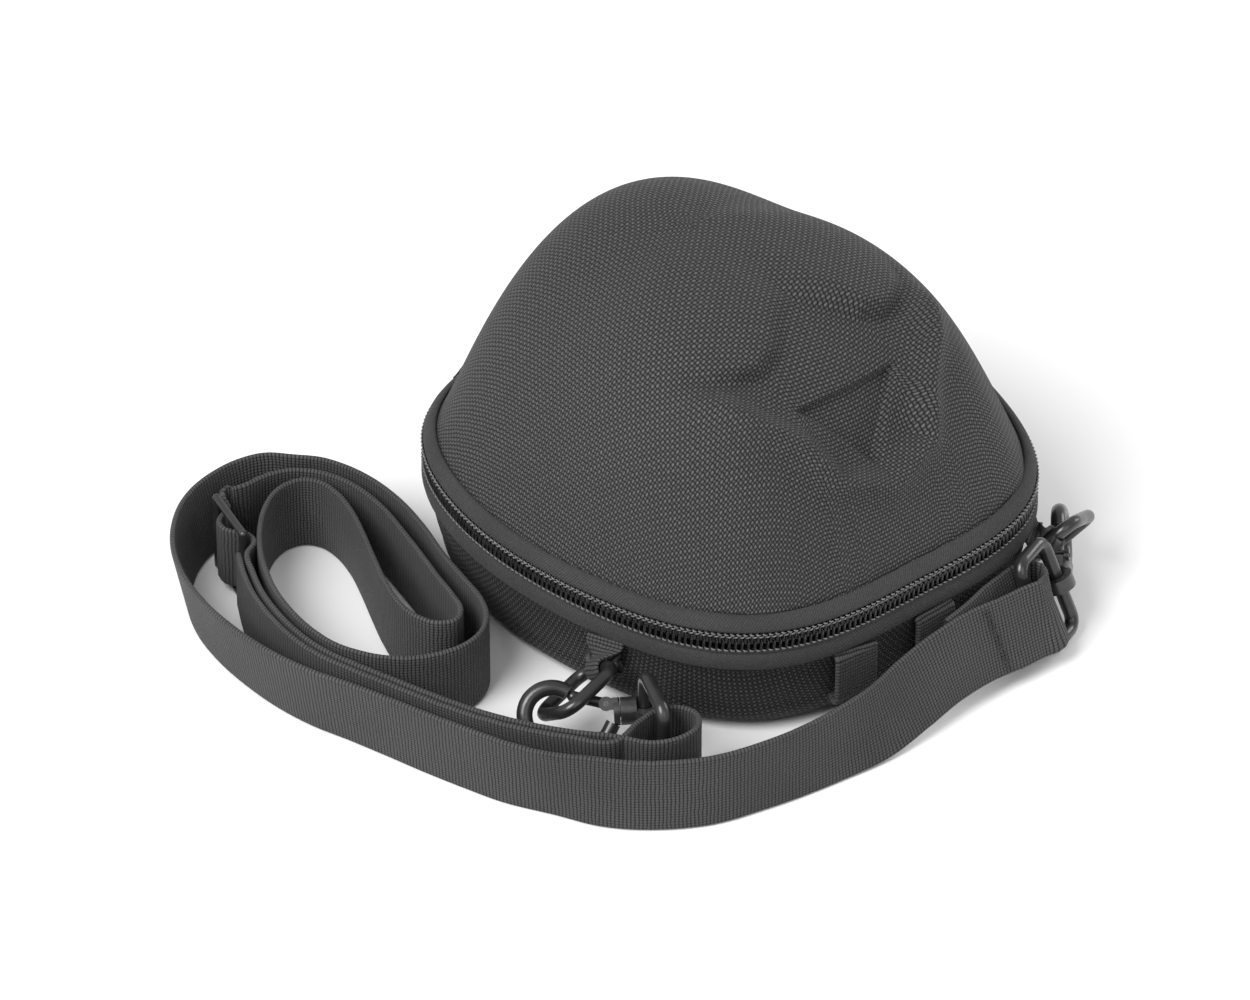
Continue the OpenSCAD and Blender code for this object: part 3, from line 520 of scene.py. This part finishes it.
def webbing_cloth():
    """Ribbed webbing: firm ribs across the width, fine warp threads over them, fuzzy selvages."""
    p = Paint("webbing_cloth", (0.04, 0.04, 0.042), 0.7, Specular_IOR_Level=0.18,
              Sheen_Weight=0.06, Sheen_Roughness=0.45)
    u, v = p.cloth_axes(0.92, 0.8)
    wander = p.noise(300, 2, low=-0.12, high=0.12)
    rib = p.hump(p.math("ADD", u, wander))
    warp = p.hump(p.math("ADD", v, wander))
    knots = p.math("MULTIPLY", rib, p.spread(warp, 0, 1, 0.3, 1))
    fuzz = p.noise(2300, 3)
    face = p.blend(p.noise(30, 3, low=0.0, high=0.8), (0.058, 0.058, 0.060), (0.086, 0.086, 0.088))
    # painted shade: between the ribs and warp threads the colour drops to near black; the face's own grey
    # varies at random
    p.colour(p.blend(p.spread(knots, 0.32, 0.9, 0, 1), (0.004, 0.004, 0.0043), face))
    p.bump(knots, 0.3)
    p.bump(fuzz, 0.06)
    return p.material


def sewing_thread():
    """Bonded polyester sewing thread, a little glossy."""
    p = Paint("sewing_thread", (0.16, 0.16, 0.165), 0.42, Specular_IOR_Level=0.5)
    twist = p.noise(2500, 2)
    p.colour(p.blend(twist, (0.07, 0.07, 0.072), (0.20, 0.20, 0.204)))
    p.bump(twist, 0.05)
    return p.material


def coil_nylon():
    """Black polyester coil: smooth, with a little dust in its hollows."""
    p = Paint("coil_nylon", (0.012, 0.012, 0.0125), 0.3, Specular_IOR_Level=0.5)
    grime = p.noise(700, 3)
    p.colour(p.blend(grime, (0.010, 0.010, 0.0105), (0.030, 0.030, 0.031)))
    p.rough(p.spread(grime, 0, 1, 0.24, 0.42))
    p.bump(p.noise(3000, 2), 0.01)
    return p.material


def black_metal(name, colour, roughness, metallic):
    """Blackened hardware: satin gloss, paler where handling has worn its finish."""
    p = Paint(name, colour, roughness, Metallic=metallic, Specular_IOR_Level=0.5,
              Coat_Weight=0.25, Coat_Roughness=0.2)
    smear = p.noise(240, 4)
    edge = p.node("ShaderNodeNewGeometry").outputs["Pointiness"]
    worn = p.math("MULTIPLY", p.spread(edge, 0.52, 0.62, 0, 0.55), p.noise(500, 3))
    pale = tuple(min(1, c * 2.2 + 0.02) for c in colour)
    p.colour(p.blend(worn, p.blend(smear, colour, tuple(c * 1.35 for c in colour)), pale))
    p.rough(p.spread(smear, 0, 1, roughness - 0.07, roughness + 0.10))
    p.bump(p.noise(900, 3), 0.012)
    return p.material


cloth = moulded_cloth("moulded_cloth", 1.0, 0.15)
# painted shade: the base wears the lid's cloth with darker greys and more gap shade, because its wall faces
# down, away from the light
shaded_wall_cloth = moulded_cloth("moulded_cloth_shaded_copy", 0.66, 0.4)
lining = lining_cloth()
tape = tape_cloth()
webbing = webbing_cloth()
thread = sewing_thread()
coil = coil_nylon()
enamel = black_metal("black_enamel", (0.014, 0.014, 0.0145), 0.32, 0.0)
gate_steel = black_metal("gate_enamel", (0.022, 0.022, 0.0235), 0.28, 0.2)
pin_steel = black_metal("pin_steel", (0.03, 0.03, 0.031), 0.36, 0.2)
slider_steel = black_metal("slider_steel", (0.10, 0.10, 0.105), 0.35, 0.8)


# ---- camera, light and floor -------------------------------------------------------------------
def camera():
    """A long lens at the photo's angle; the matrix holds its side, up and back directions."""
    data = bpy.data.cameras.new("camera")
    data.sensor_width, data.lens = 36.0, 230.4
    made = bpy.data.objects.new("camera", data)
    bpy.context.scene.collection.objects.link(made)
    made.location = Vector((-1.01681, -1.17118, 1.16526))
    back = -Vector((0.517, 0.616, -0.595)).normalized()
    side = Vector((0.766, -0.643, 0)).normalized()
    up = back.cross(side)
    made.matrix_world = Matrix.Translation(made.location) @ Matrix((side, up, back)).transposed().to_4x4()
    data.clip_start, data.clip_end = 0.05, 20
    bpy.context.scene.camera = made


def soft_light(name, place, size, watts):
    """A round area light aimed at the middle of the case."""
    data = bpy.data.lights.new(name, "AREA")
    data.shape, data.size, data.energy = "DISK", size, watts
    made = bpy.data.objects.new(name, data)
    bpy.context.scene.collection.objects.link(made)
    made.location = Vector(place)
    made.rotation_euler = (Vector((0, 0, 0.03)) - made.location).to_track_quat("-Z", "Y").to_euler()


FLOOR_HALF = 4000.0


def studio():
    """White surroundings, three soft lights and a pale floor."""
    world = bpy.data.worlds.new("studio")
    bpy.context.scene.world = world
    world.use_nodes = True
    background = world.node_tree.nodes["Background"]
    background.inputs["Color"].default_value = (1, 1, 1, 1)
    background.inputs["Strength"].default_value = 0.6
    soft_light("key", (-1.25, -0.1, 1.3), 1.1, 33)
    soft_light("front", (-0.4, -1.5, 1.1), 1.2, 5)
    soft_light("right", (1.5, -0.3, 0.8), 0.8, 9)
    bpy.context.scene.view_settings.view_transform = "Standard"

    p = Paint("pale_floor", (0.92, 0.92, 0.92), 0.8, Specular_IOR_Level=0.1)
    p.colour(p.blend(p.noise(3, 2), (0.90, 0.90, 0.90), (0.94, 0.94, 0.94)))
    skin = Skin()
    corners = np.array([[(x, y, 0.0) for x in (-FLOOR_HALF, FLOOR_HALF)] for y in (-FLOOR_HALF, FLOOR_HALF)])
    skin.grid(corners, corners[..., :2])
    mesh = bpy.data.meshes.new("floor")
    mesh.from_pydata((np.concatenate(skin.points) * MM).tolist(), [], skin.faces)
    mesh.materials.append(p.material)
    floor = bpy.data.objects.new("floor", mesh)
    bpy.context.scene.collection.objects.link(floor)


# ---- shells ------------------------------------------------------------------------------------
def radial_uv(points, tip):
    """Cloth coordinates that spread out from the tip, as one flat sheet pressed into a form."""
    steps = np.linalg.norm(np.diff(points, axis=0), axis=-1)
    start = np.linalg.norm(points[0] - tip, axis=-1)[None]
    s = np.concatenate([start, start + np.cumsum(steps, axis=0)])
    way = unit((points - tip)[..., :2])
    settle = smooth(s / 25)[..., None]
    way = unit(way * (1 - settle) + way[len(way) // 2][None] * settle)
    uv = s[..., None] * way
    return np.concatenate([uv, uv[:, :1]], axis=1)


def bowl(outer, outer_tip, inner, inner_tip):
    """A skin of two sides: rings from the closed end to the rim, a tip for each side, joined at the rim."""
    skin = Skin()
    n = outer.shape[1]
    rims = []
    for rings, tip in ((outer, outer_tip), (inner, inner_tip)):
        uv = radial_uv(rings, tip)
        first = skin.grid(rings, uv, round_cols=True)
        skin.fan(first, n, tip, uv[0], (0.0, 0.0))
        rims.append((first + (len(rings) - 1) * n, uv[-1]))
    (outer_rim, uv_out), (inner_rim, uv_in) = rims
    for i in range(n):
        j = (i + 1) % n
        skin.face([outer_rim + i, outer_rim + j, inner_rim + j, inner_rim + i],
                  [uv_out[i], uv_out[i + 1], uv_in[i + 1], uv_in[i]])
    return skin


# rings of a dome lie closer together towards its top, and the lid's columns towards the front
RING_POWER = 1.7
FRONT_CROWD = math.radians(18)


def lid_cover():
    """The lid's cloth with its relief, both sides, and the foot that reaches down to the zip."""
    n, rings = 480, 170
    t = np.linspace(0, 2 * np.pi, n, endpoint=False)
    a = t - FRONT_CROWD * np.cos(t)
    h = 1 - (np.arange(rings, -1, -1) / rings) ** RING_POWER
    h = h[::-1][1:]
    dome = dome_skin(a[None, :], h[:, None])
    foot = [plan_point(a, s, z) for s, z in (
        (GROOVE_IN - 0.1, groove_z - 0.4), (2.1, lid_foot_z + 0.7), (FOOT_IN, lid_foot_z))]
    inner_h = h[::6]
    inside = dome_inside(a[None, :], inner_h[:, None], WALL)
    inner_foot = plan_point(a, FOOT_IN + WALL, lid_foot_z)
    skin = bowl(np.concatenate([dome, foot]), dome_skin(math.pi / 2, 0.9999),
                np.concatenate([inside, [inner_foot]]), dome_point(math.pi / 2, 1.0, WALL))
    skin.build("lid_cover", cloth, "moulded_cloth", "lid", ["lid_shell"])


WALL_TOP, WALL_IN_TOP, WALL_IN_LOW, EDGE_R = 20.5, 1.5, 3.6, 9.0
BACK_IN = 0.75
FLAT_SPAN = 50.0


def base_rings(e, a, fine):
    """Rings of the base from the middle of its underside to its rim, a distance e inside the skin."""
    low_r = EDGE_R - e
    flat = [plan_point(a, WALL_IN_LOW + EDGE_R + (1 - f) * FLAT_SPAN, e)
            for f in np.linspace(0.1, 0.95, fine)]
    edge = [plan_point(a, WALL_IN_LOW + EDGE_R - low_r * math.cos(t), EDGE_R - low_r * math.sin(t))
            for t in np.radians(np.linspace(90, 0, 2 * fine))]
    wall = [plan_point(a, e + WALL_IN_LOW + (WALL_IN_TOP - WALL_IN_LOW) * f - 0.35 * math.sin(math.pi * f),
                       EDGE_R + (WALL_TOP - EDGE_R) * f) for f in np.linspace(0, 1, 2 * fine)[1:]]
    rim = [plan_point(a, BACK_IN + e, z) for z in (tape_low_z - 0.6, tape_low_z + 1.5, base_top_z)]
    return np.stack(flat + edge + wall + rim)


def base_cover():
    """The base's cloth, both sides."""
    a = np.linspace(0, 2 * np.pi, 300, endpoint=False)
    skin = bowl(base_rings(0, a, 6), [0, 0, 0], base_rings(WALL, a, 4), [0, 0, WALL])
    # painted shade: the base's cloth is the darker, shaded copy of the lid's
    skin.build("base_cover", shaded_wall_cloth, "moulded_cloth", "base", ["base_shell"])


def lid_liner():
    """The lid's lining, slightly rucked near its rim."""
    gap = WALL + 1.0
    a = np.linspace(0, 2 * np.pi, 160, endpoint=False)
    h = 0.04 + 0.96 * (1 - (1 - np.linspace(0.99, 0, 30)) ** RING_POWER)
    sides = []
    for inset in (gap, gap + LINING_T):
        rings = dome_inside(a[None, :], h[:, None], inset)
        ruck = 0.25 * np.cos(9 * a) * smooth((0.5 - h[:, None]) / 0.5)
        rings = rings - ruck[..., None] * unit(rings - DOME_CORE) - 0.25 * unit(rings - DOME_CORE)
        rim = plan_point(a, GROOVE_IN + inset, groove_z + 1.6)
        sides += [np.concatenate([rings, [rim]]), dome_point(math.pi / 2, 1.0, inset) - [0, 0, 0.25]]
    bowl(*sides).build("lid_liner", lining, "lining", "lid", ["lid_lining"])


def base_liner():
    """The base's lining, just inside its cloth."""
    gap = WALL + 0.3
    a = np.linspace(0, 2 * np.pi, 160, endpoint=False)
    sides = []
    for e in (gap, gap + LINING_T):
        rings = base_rings(e, a, 4)[:-4]
        rings = np.concatenate([rings, [plan_point(a, WALL_IN_TOP + e, WALL_TOP + 0.5)]])
        sides += [rings, [0, 0, e]]
    bowl(*sides).build("base_liner", lining, "lining", "base", ["base_lining"])


# ---- zip ---------------------------------------------------------------------------------------
def zip_tapes():
    """The two tapes of the zip, each a closed section swept round the case."""
    up, top = tape_up_z, groove_z
    hoop("upper_tape", [(0.1, up), (0.05, up + 0.6), (0.35, up + 1.5), (0.85, up + 2.3), (1.5, up + 3.0),
                        (2.15, top - 0.05), (2.65, top), (3.05, top - 0.45), (2.5, up + 2.4),
                        (1.76, up + 1.6), (0.9, up)], tape, "zip_tape", "lid", ["zip_tape_upper"])
    z = tape_low_top
    hoop("lower_tape", [(0.12, z), (0.0, z - 0.35), (0.1, z - 0.8), (0.3, z - 1.0), (0.05, z - 1.25),
                        (-0.25, z - 1.9), (-0.42, z - 3.0), (-0.42, z - 4.2), (-0.2, z - 5.2),
                        (0.15, tape_low_z), (0.6, tape_low_z), (0.6, z - 2), (0.6, z)],
         tape, "zip_tape", "base", ["zip_tape_lower"])


TEETH_PITCH = 1.5
TOOTH_R = 0.36
HEAD_GAP = 0.45
SLIDER_FROM, SLIDER_TO = 6, 58
PRESSED_IN, PRESSED_SHORT = 0.6, 0.45
# azimuths in degrees between which the teeth run; the upper row ends earlier
LOWER_TEETH, UPPER_TEETH = (120, 420), (120, 404)


def under_slider(a):
    """1 where the slider travels along the zip, 0 elsewhere."""
    turned = np.degrees(a) % 360
    return smooth((turned - SLIDER_FROM) / 8) * smooth((SLIDER_TO - turned) / 4)


def wrap(local, start):
    """Points [inset, z, length round the zip] on the plan, pressed flatter where the slider travels."""
    local = np.asarray(local, float)
    a = azimuth_at(start + local[:, 2])
    pressed = PRESSED_IN * under_slider(a) * (1 - smooth(local[:, 0] / 1.5))
    return plan_point(a, local[:, 0] + pressed, local[:, 1])


def zip_half(name, body, node, root_z, head_z, a_start, a_end, phase):
    """One half of the coil: a nylon loop for each tooth, heads towards the middle of the zip."""
    skin = Skin()
    way = math.copysign(1, head_z - root_z)
    z = [root_z + 0.15 * way, root_z, root_z + 0.2 * way, root_z + 0.7 * way, head_z - 0.5 * way,
         head_z, head_z, root_z + 1.0 * way]
    inset = [1.55, 0.9, 0.35, 0.12, 0.12, 0.4, 1.2, 1.6]
    radii = [TOOTH_R * k for k in (0.8, 0.9, 0.95, 1, 1.05, 1.25, 1.15, 0.8)]
    first, last = length_at(a_start), length_at(a_end)
    for k in range(int((last - first) / TEETH_PITCH)):
        start = first + (k + 0.5 + phase) * TEETH_PITCH
        lean = np.linspace(-0.12, 0.12, len(z))
        short = 1 - PRESSED_SHORT * under_slider(azimuth_at(start))
        tube(skin, wrap(np.stack([inset, root_z + (np.array(z) - root_z) * short, lean], 1), start), radii)
    skin.build(name, coil, "zip_coil", body, [node])


def zip_stitches(name, body, heights, a_start, a_end):
    """The sewing that holds the coil to its tape: slanted stitches, one over each tooth."""
    skin = Skin()
    first, last = length_at(a_start), length_at(a_end)
    for row, z in enumerate(heights):
        slant = 0.16 if row % 2 else -0.16
        for k in range(int((last - first) / TEETH_PITCH)):
            start = first + (k + 0.5 + 0.5 * (row % 2)) * TEETH_PITCH
            local = [(-0.02, z - slant, -0.62), (-0.26, z - 0.5 * slant, -0.3), (-0.33, z, 0),
                     (-0.26, z + 0.5 * slant, 0.3), (-0.02, z + slant, 0.62)]
            tube(skin, wrap(local, start), [0.12, 0.2, 0.23, 0.2, 0.12], 5)
    skin.build(name, thread, "zip_tape", body)


def zip_coils():
    """Both rows of teeth, half a pitch apart, and their stitches."""
    zip_half("upper_coil", "lid", "zip_coil_upper", coil_up_top, zip_z - HEAD_GAP, *UPPER_TEETH, 0)
    zip_half("lower_coil", "base", "zip_coil_lower", coil_low_z, zip_z + HEAD_GAP, *LOWER_TEETH, 0.5)
    zip_stitches("upper_coil_stitches", "lid", (coil_up_top - 0.25, coil_up_top - 0.85), *UPPER_TEETH)
    zip_stitches("lower_coil_stitches", "base", (coil_low_z + 0.25,), *LOWER_TEETH)


HINGE_MIDDLE, HINGE_HALF = 90, 28


def hinge_cloth():
    """The cloth hinge: one strip behind the case, sewn to both halves; it rides on neither half, so it stays
    where it is built.
    """
    columns, rows = 60, 40
    a = np.radians(np.linspace(HINGE_MIDDLE - HINGE_HALF, HINGE_MIDDLE + HINGE_HALF, columns))
    z = np.linspace(low("hinge_web_lower")[2], high("hinge_web_upper")[2], rows)
    z = np.concatenate([z, z[::-1]])
    bulge = 0.25 * np.exp(-(((z - zip_z) / 1.6) ** 2))
    inset = np.where(np.arange(2 * rows) < rows, -1.05 + bulge, -0.25 + bulge)
    flush = smooth((HINGE_HALF - np.abs(np.degrees(a) - HINGE_MIDDLE)) / 5)
    inset = -0.3 + (inset[:, None] + 0.3) * flush
    z = zip_z + (z - zip_z)[:, None] * (0.8 + 0.2 * flush)
    points = plan_point(a[None, :], inset, z)
    lengths = np.interp(a, RIM_ANGLE, RIM_LENGTH)
    uv = np.stack(np.meshgrid(lengths, np.append(z[:, 30], z[0, 30])), -1)
    skin = Skin()
    first = skin.grid(points, uv, round_rows=True)
    for edge in (0, columns - 1):
        around = range(2 * rows)
        skin.face([first + r * columns + edge for r in around], [uv[r, edge] for r in around])
    piece = skin.build("hinge_cloth", tape, "zip_tape", None, ["hinge_web_lower", "hinge_web_upper"])
    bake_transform(piece)


def bindings():
    """Bound edges of the linings, inside the zip."""
    s = FOOT_IN + WALL + 0.45
    foot, top = lid_foot_z, groove_z
    hoop("lid_edge_binding", [(s, foot), (s + 1.2, top - 1.1), (s + 2, top), (s + 2.1, top + 1.3),
                              (s + 2.6, top + 1.5), (s + 3, top + 1.3), (s + 2.9, top - 0.2),
                              (s + 2.1, top - 1.2), (s + 0.9, foot)],
         tape, "zip_tape", "lid", ["lid_binding"])
    s, foot, top = BACK_IN + WALL + 0.9, low("base_binding")[2], base_top_z
    hoop("base_edge_binding", [(s, foot), (s, top - 0.2), (s + 0.45, top), (s + 0.9, top - 0.2),
                               (s + 0.9, foot), (s + 0.45, foot - 0.1)],
         tape, "zip_tape", "base", ["base_binding"])


# ---- belt loops, tabs --------------------------------------------------------------------------
BELT_LOOPS = (("left", -106.4), ("right", -86.2))


def belt_loop(name, azimuth, node):
    """A flat loop of webbing, sewn in under the tape and again low on the wall."""
    width, t = 12.0, 1.3
    top = tape_low_z
    centre = np.array([(0.6, top - 0.9), (0.0, top - 1.0), (-0.45, top - 1.6), (-0.62, top - 3.5),
                       (-0.62, 15), (-0.58, 11), (-0.4, 9.3), (0.3, 8.7), (2.2, 8.5)])
    line = resample(np.column_stack([centre, np.zeros(len(centre))]), 0.5)
    start = length_at(azimuth)
    middle = wrap(np.column_stack([line[:, :2], np.zeros(len(line))]), start)
    side = wrap(np.column_stack([line[:, :2], np.full(len(line), 1.0)]), start) - middle
    skin = Skin()
    ribbon(skin, middle, side, np.full(len(line), width), t)
    skin.build(name, webbing, "webbing", "base", [node])


TACK_ROWS, TACK_PITCH = 2, 1.1


def bar_tack(skin, centre, along_way, across, up, width):
    """Close rows of stitches across a strip."""
    for row in range(TACK_ROWS):
        for k in range(int(width / TACK_PITCH)):
            at = centre + along_way * row + across * ((k + 0.5) * TACK_PITCH - width / 2)
            path = [at - across * 0.42, at - across * 0.2 + up * 0.16,
                    at + across * 0.2 + up * 0.16, at + across * 0.42]
            tube(skin, path, [0.14, 0.2, 0.2, 0.14], 5)


def frame_of(out, side):
    """Three axes at right angles: outward, along side as nearly as can be, and across both."""
    ex = unit(out)
    ez = unit(np.cross(out, side))
    return ex, unit(np.cross(ez, ex)), ez


def ring_tab(name, node, azimuth, fold, out, side, width_wall, width_fold, inset, z_top, z_low):
    """A folded webbing tab: down from under the tape, round the ring's bar, and back to the wall."""
    ex, ey, ez = frame_of(out, side)
    if ez[2] < 0:
        ez = -ez
    bar_r = 2.45
    turn = np.radians([115, 85, 55, 25, 0, -25, -55, -85, -115])
    loop = np.array(fold) + bar_r * (np.cos(turn)[:, None] * ex + np.sin(turn)[:, None] * ez)
    start = length_at(azimuth)
    top = wrap([(inset + 0.9, z_top + 1.6, 0), (inset, z_top, 0)], start)
    end = wrap([(inset, z_low, 0), (inset + 0.2, z_low - 3.0, 0)], start)
    tangent = wrap([(0, z_top, 1.0)], start)[0] - wrap([(0, z_top, -1.0)], start)[0]
    if np.dot(tangent, ey) < 0:
        tangent = -tangent
    rows = [[*p, *unit(tangent), width_wall] for p in top]
    rows += [[*p, *ey, width_fold] for p in loop]
    rows += [[*p, *unit(tangent), width_wall] for p in end]
    line = resample(rows, 0.5)
    skin = Skin()
    ribbon(skin, line[:, :3], line[:, 3:6], line[:, 6], 1.0)
    skin.build(name, webbing, "webbing", "base", [node])


FOLD_L, OUT_L, SIDE_L = (-66.3, -29.8, 17.1), (-0.967, -0.15, -0.21), (0, 0.81, -0.58)
FOLD_R, OUT_R, SIDE_R = (45.06, -63.87, 20.5), (0.794, 0.405, -0.453), (0.599, -0.397, 0.695)


def tabs():
    """The two webbing tabs that hold the rings."""
    ring_tab("left_tab", "ring_tab_left", -156.5, FOLD_L, OUT_L, SIDE_L, 10, 5.6, -0.7, 21.3, 16.0)
    ring_tab("right_tab", "ring_tab_right", -54.8, FOLD_R, OUT_R, SIDE_R, 10, 5.6, -0.7, 21.6, 19.0)


# ---- strap -------------------------------------------------------------------------------------
STRAP_W, STRAP_NARROW, STRAP_T = 20.0, 16.8, 1.4
RIGHT_LINK_Z, LEFT_LINK_Z = 13.81, 13.57
END_LEAN, END_W = (-3.15, 6.7), 19.2
GLIDE_C, GLIDE_WAY, GLIDE_OUT = np.array([-99.6, 68.9, 11.6]), (-0.251, -0.968), (0.968, -0.251)
FLOOR_GAP = 0.3
LAYER_OFF = 1.1
OUTER_LEAN, LOOP_MIDDLE = 4, (-92, 40)
SEAM_X, SEAM_WIDTH = 16, 18.0
# the webbing at the slide: how far along it, and how far to either side of its middle
GLIDE_PASS = ((-9.2, 2.4), (-7, 2.4), (-1.1, -2.4), (1.1, -2.4), (7, 2.4), (9.2, 2.4))
# the route of the webbing's middle line, in metres; FRONT's third number leans its top edge out
RIGHT_END = [
    (0.004, -0.0764), (0.014, -0.0744), (0.0206, -0.0725), (0.0266, -0.0715), (0.0311, -0.0709),
    (0.0346, -0.0729), (0.035, -0.0765), (0.032, -0.0791), (0.0271, -0.0787),
]
FRONT = [
    (0.02, -0.0784, 0.0095), (0.012, -0.0776, 0.0105), (0, -0.0782, 0.0095), (-0.012, -0.0794, 0.0075),
    (-0.023, -0.0808, 0.005), (-0.035, -0.0808, 0.0025), (-0.056, -0.0787, 0), (-0.0715, -0.0743, 0),
    (-0.0795, -0.0695, 0), (-0.0865, -0.0635, 0), (-0.091, -0.058, 0),
]
OUTER_LOOP = [
    (-0.0965, -0.0495), (-0.1025, -0.0385), (-0.106, -0.029), (-0.1095, -0.0185), (-0.1125, -0.0085),
    (-0.116, 0.0025), (-0.1195, 0.0125), (-0.1217, 0.023), (-0.1225, 0.035), (-0.1217, 0.048),
    (-0.119, 0.0595), (-0.1145, 0.069), (-0.1085, 0.0765), (-0.1025, 0.0813), (-0.097, 0.084),
    (-0.0905, 0.0856), (-0.083, 0.0858), (-0.077, 0.084),
]
RIGHT_RUN = [
    (-0.0715, 0.08), (-0.0672, 0.075), (-0.0646, 0.069), (-0.063, 0.061), (-0.063, 0.0505),
    (-0.0652, 0.038), (-0.0686, 0.026), (-0.0709, 0.015), (-0.0728, 0.0065), (-0.076, 0.0005),
    (-0.0805, -0.0032), (-0.086, -0.0048), (-0.093, -0.004), (-0.0995, -0.001), (-0.1045, 0.0035),
    (-0.108, 0.009), (-0.1103, 0.015), (-0.111, 0.022), (-0.1103, 0.031), (-0.1082, 0.04),
    (-0.105, 0.048), (-0.1005, 0.056), (-0.095, 0.063), (-0.09, 0.0678), (-0.0845, 0.0712),
    (-0.0795, 0.0722), (-0.0756, 0.071), (-0.0732, 0.0675), (-0.0728, 0.062), (-0.0745, 0.054),
    (-0.078, 0.045), (-0.082, 0.036), (-0.086, 0.0265), (-0.0886, 0.018), (-0.0888, 0.011),
    (-0.0865, 0.0058), (-0.0825, 0.004), (-0.0792, 0.0062), (-0.077, 0.012), (-0.0754, 0.019),
    (-0.073, 0.028), (-0.0704, 0.0385), (-0.068, 0.05), (-0.0676, 0.06), (-0.0692, 0.0675),
    (-0.0723, 0.073), (-0.0765, 0.0766), (-0.082, 0.0782), (-0.088, 0.0783), (-0.0935, 0.0792),
]
PAIR = [
    (-0.1046, 0.0575), (-0.1084, 0.0505), (-0.1119, 0.042), (-0.1143, 0.032), (-0.1152, 0.023),
    (-0.1146, 0.014), (-0.1124, 0.0055), (-0.109, -0.0055), (-0.1055, -0.0165), (-0.1016, -0.0275),
    (-0.097, -0.038), (-0.0908, -0.0485), (-0.0845, -0.0565),
]
LEFT_END = [
    (-0.0784, -0.0634), (-0.0724, -0.066), (-0.0667, -0.0653), (-0.0638, -0.0617), (-0.0649, -0.0575),
    (-0.0689, -0.0548), (-0.0754, -0.0551),
]


def strap_rows():
    """Rows of [x, y, middle height, lean x, lean y, width] from the right end to the left end."""

    def standing(p, lean=(0.0, 0.0)):
        """A row of webbing on its edge on the floor."""
        height = math.sqrt(STRAP_W**2 - lean[0] ** 2 - lean[1] ** 2)
        return [p[0], p[1], FLOOR_GAP + height / 2, lean[0], lean[1], STRAP_W]

    mm = {k: np.array(v) / MM for k, v in (("right", RIGHT_END), ("front", FRONT), ("outer", OUTER_LOOP),
                                           ("run", RIGHT_RUN), ("pair", PAIR), ("left", LEFT_END))}
    rows = [[p[0], p[1], RIGHT_LINK_Z, *END_LEAN, END_W] for p in mm["right"]]
    for x, y, lean in mm["front"]:
        laid, held = standing((x, y), (0.0, lean)), [x, y, RIGHT_LINK_Z, *END_LEAN, END_W]
        share = float(smooth((x + 32) / 36))
        rows.append([low_end * (1 - share) + high_end * share for low_end, high_end in zip(laid, held)])
    rows += [standing(p, OUTER_LEAN * unit(p - LOOP_MIDDLE)) for p in mm["outer"]]
    rows += [standing(p) for p in mm["run"]]
    for u, o in GLIDE_PASS:
        at = GLIDE_C[:2] + u * np.array(GLIDE_WAY) + o * np.array(GLIDE_OUT)
        rows.append([*at, GLIDE_C[2], 0, 0, STRAP_NARROW])
    pair = mm["pair"]
    way = unit(np.array([pair[min(len(pair) - 1, i + 1)] - pair[max(0, i - 1)] for i in range(len(pair))]))
    out = np.stack([way[:, 1], -way[:, 0]], 1)

    def layer(i, off):
        """Row i of the two layers that lie together, off to one side of their middle."""
        k = float(smooth(1 - i / 3 if i < 3 else (i - 8) / 4))
        z = (FLOOR_GAP + STRAP_W / 2) * (1 - k) + (GLIDE_C[2] if i < 6 else LEFT_LINK_Z) * k
        return [*(pair[i] + off * out[i]), z, 0, 0, STRAP_W + (STRAP_NARROW - STRAP_W) * k]

    rows += [layer(i, -LAYER_OFF) for i in range(len(pair))]
    rows += [[p[0], p[1], LEFT_LINK_Z, 0, 0, STRAP_NARROW] for p in mm["left"]]
    rows += [layer(i, LAYER_OFF) for i in range(len(pair) - 1, -1, -1)]
    return np.array(rows)


def strap():
    """The shoulder strap; gives back the length of its middle line in millimetres."""
    rows = strap_rows()
    length = along(rows[:, :3])[-1]
    line = resample(rows, 1.5)
    lean = line[:, 3:5]
    rise = np.sqrt(np.maximum(line[:, 5] ** 2 - (lean**2).sum(1), 1))
    skin = Skin()
    ribbon(skin, line[:, :3], np.column_stack([lean, rise]), line[:, 5], STRAP_T, 11)
    piece = skin.build("shoulder_strap", webbing, "webbing", "base", ["strap"])
    return length


def strap_seam():
    """The sewn line across the strap where its right end is folded back."""
    line = resample(strap_rows(), 1.5)
    k = int(np.argmin(np.abs(line[:, 0] - SEAM_X) + 10 * (line[:, 1] > -72)))
    way = unit(line[k + 1, :3] - line[k - 1, :3])
    height = math.sqrt(line[k, 5] ** 2 - line[k, 3] ** 2 - line[k, 4] ** 2)
    across = unit(np.array([line[k, 3], line[k, 4], height]))
    out = unit(np.cross(way, across))
    out = out * -np.sign(out[1])
    skin = Skin()
    bar_tack(skin, line[k, :3] + out * (STRAP_T / 2), way, across, out, SEAM_WIDTH)
    skin.build("strap_seam", coil, "webbing", "base")


# ---- CAD hardware that shows as it is ----------------------------------------------------------
def hardware():
    """Paints every CAD node; only those that no piece replaces are seen."""
    for name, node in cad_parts.items():
        paint = enamel
        if name.startswith("gate_pin"):
            paint = pin_steel
        elif name.startswith("gate"):
            paint = gate_steel
        elif name in ("zip_slider", "zip_pull", "zip_end_stops"):
            paint = slider_steel
        node.data.materials.clear()
        node.data.materials.append(paint)


camera()
studio()
hardware()
lid_cover()
base_cover()
lid_liner()
base_liner()
zip_tapes()
zip_coils()
hinge_cloth()
bindings()
for hand, azimuth in BELT_LOOPS:
    belt_loop(hand + "_belt_loop", azimuth, "belt_loop_" + hand)
tabs()
strap_length = strap()
strap_seam()
print("strap length in mm", round(strap_length, 1))
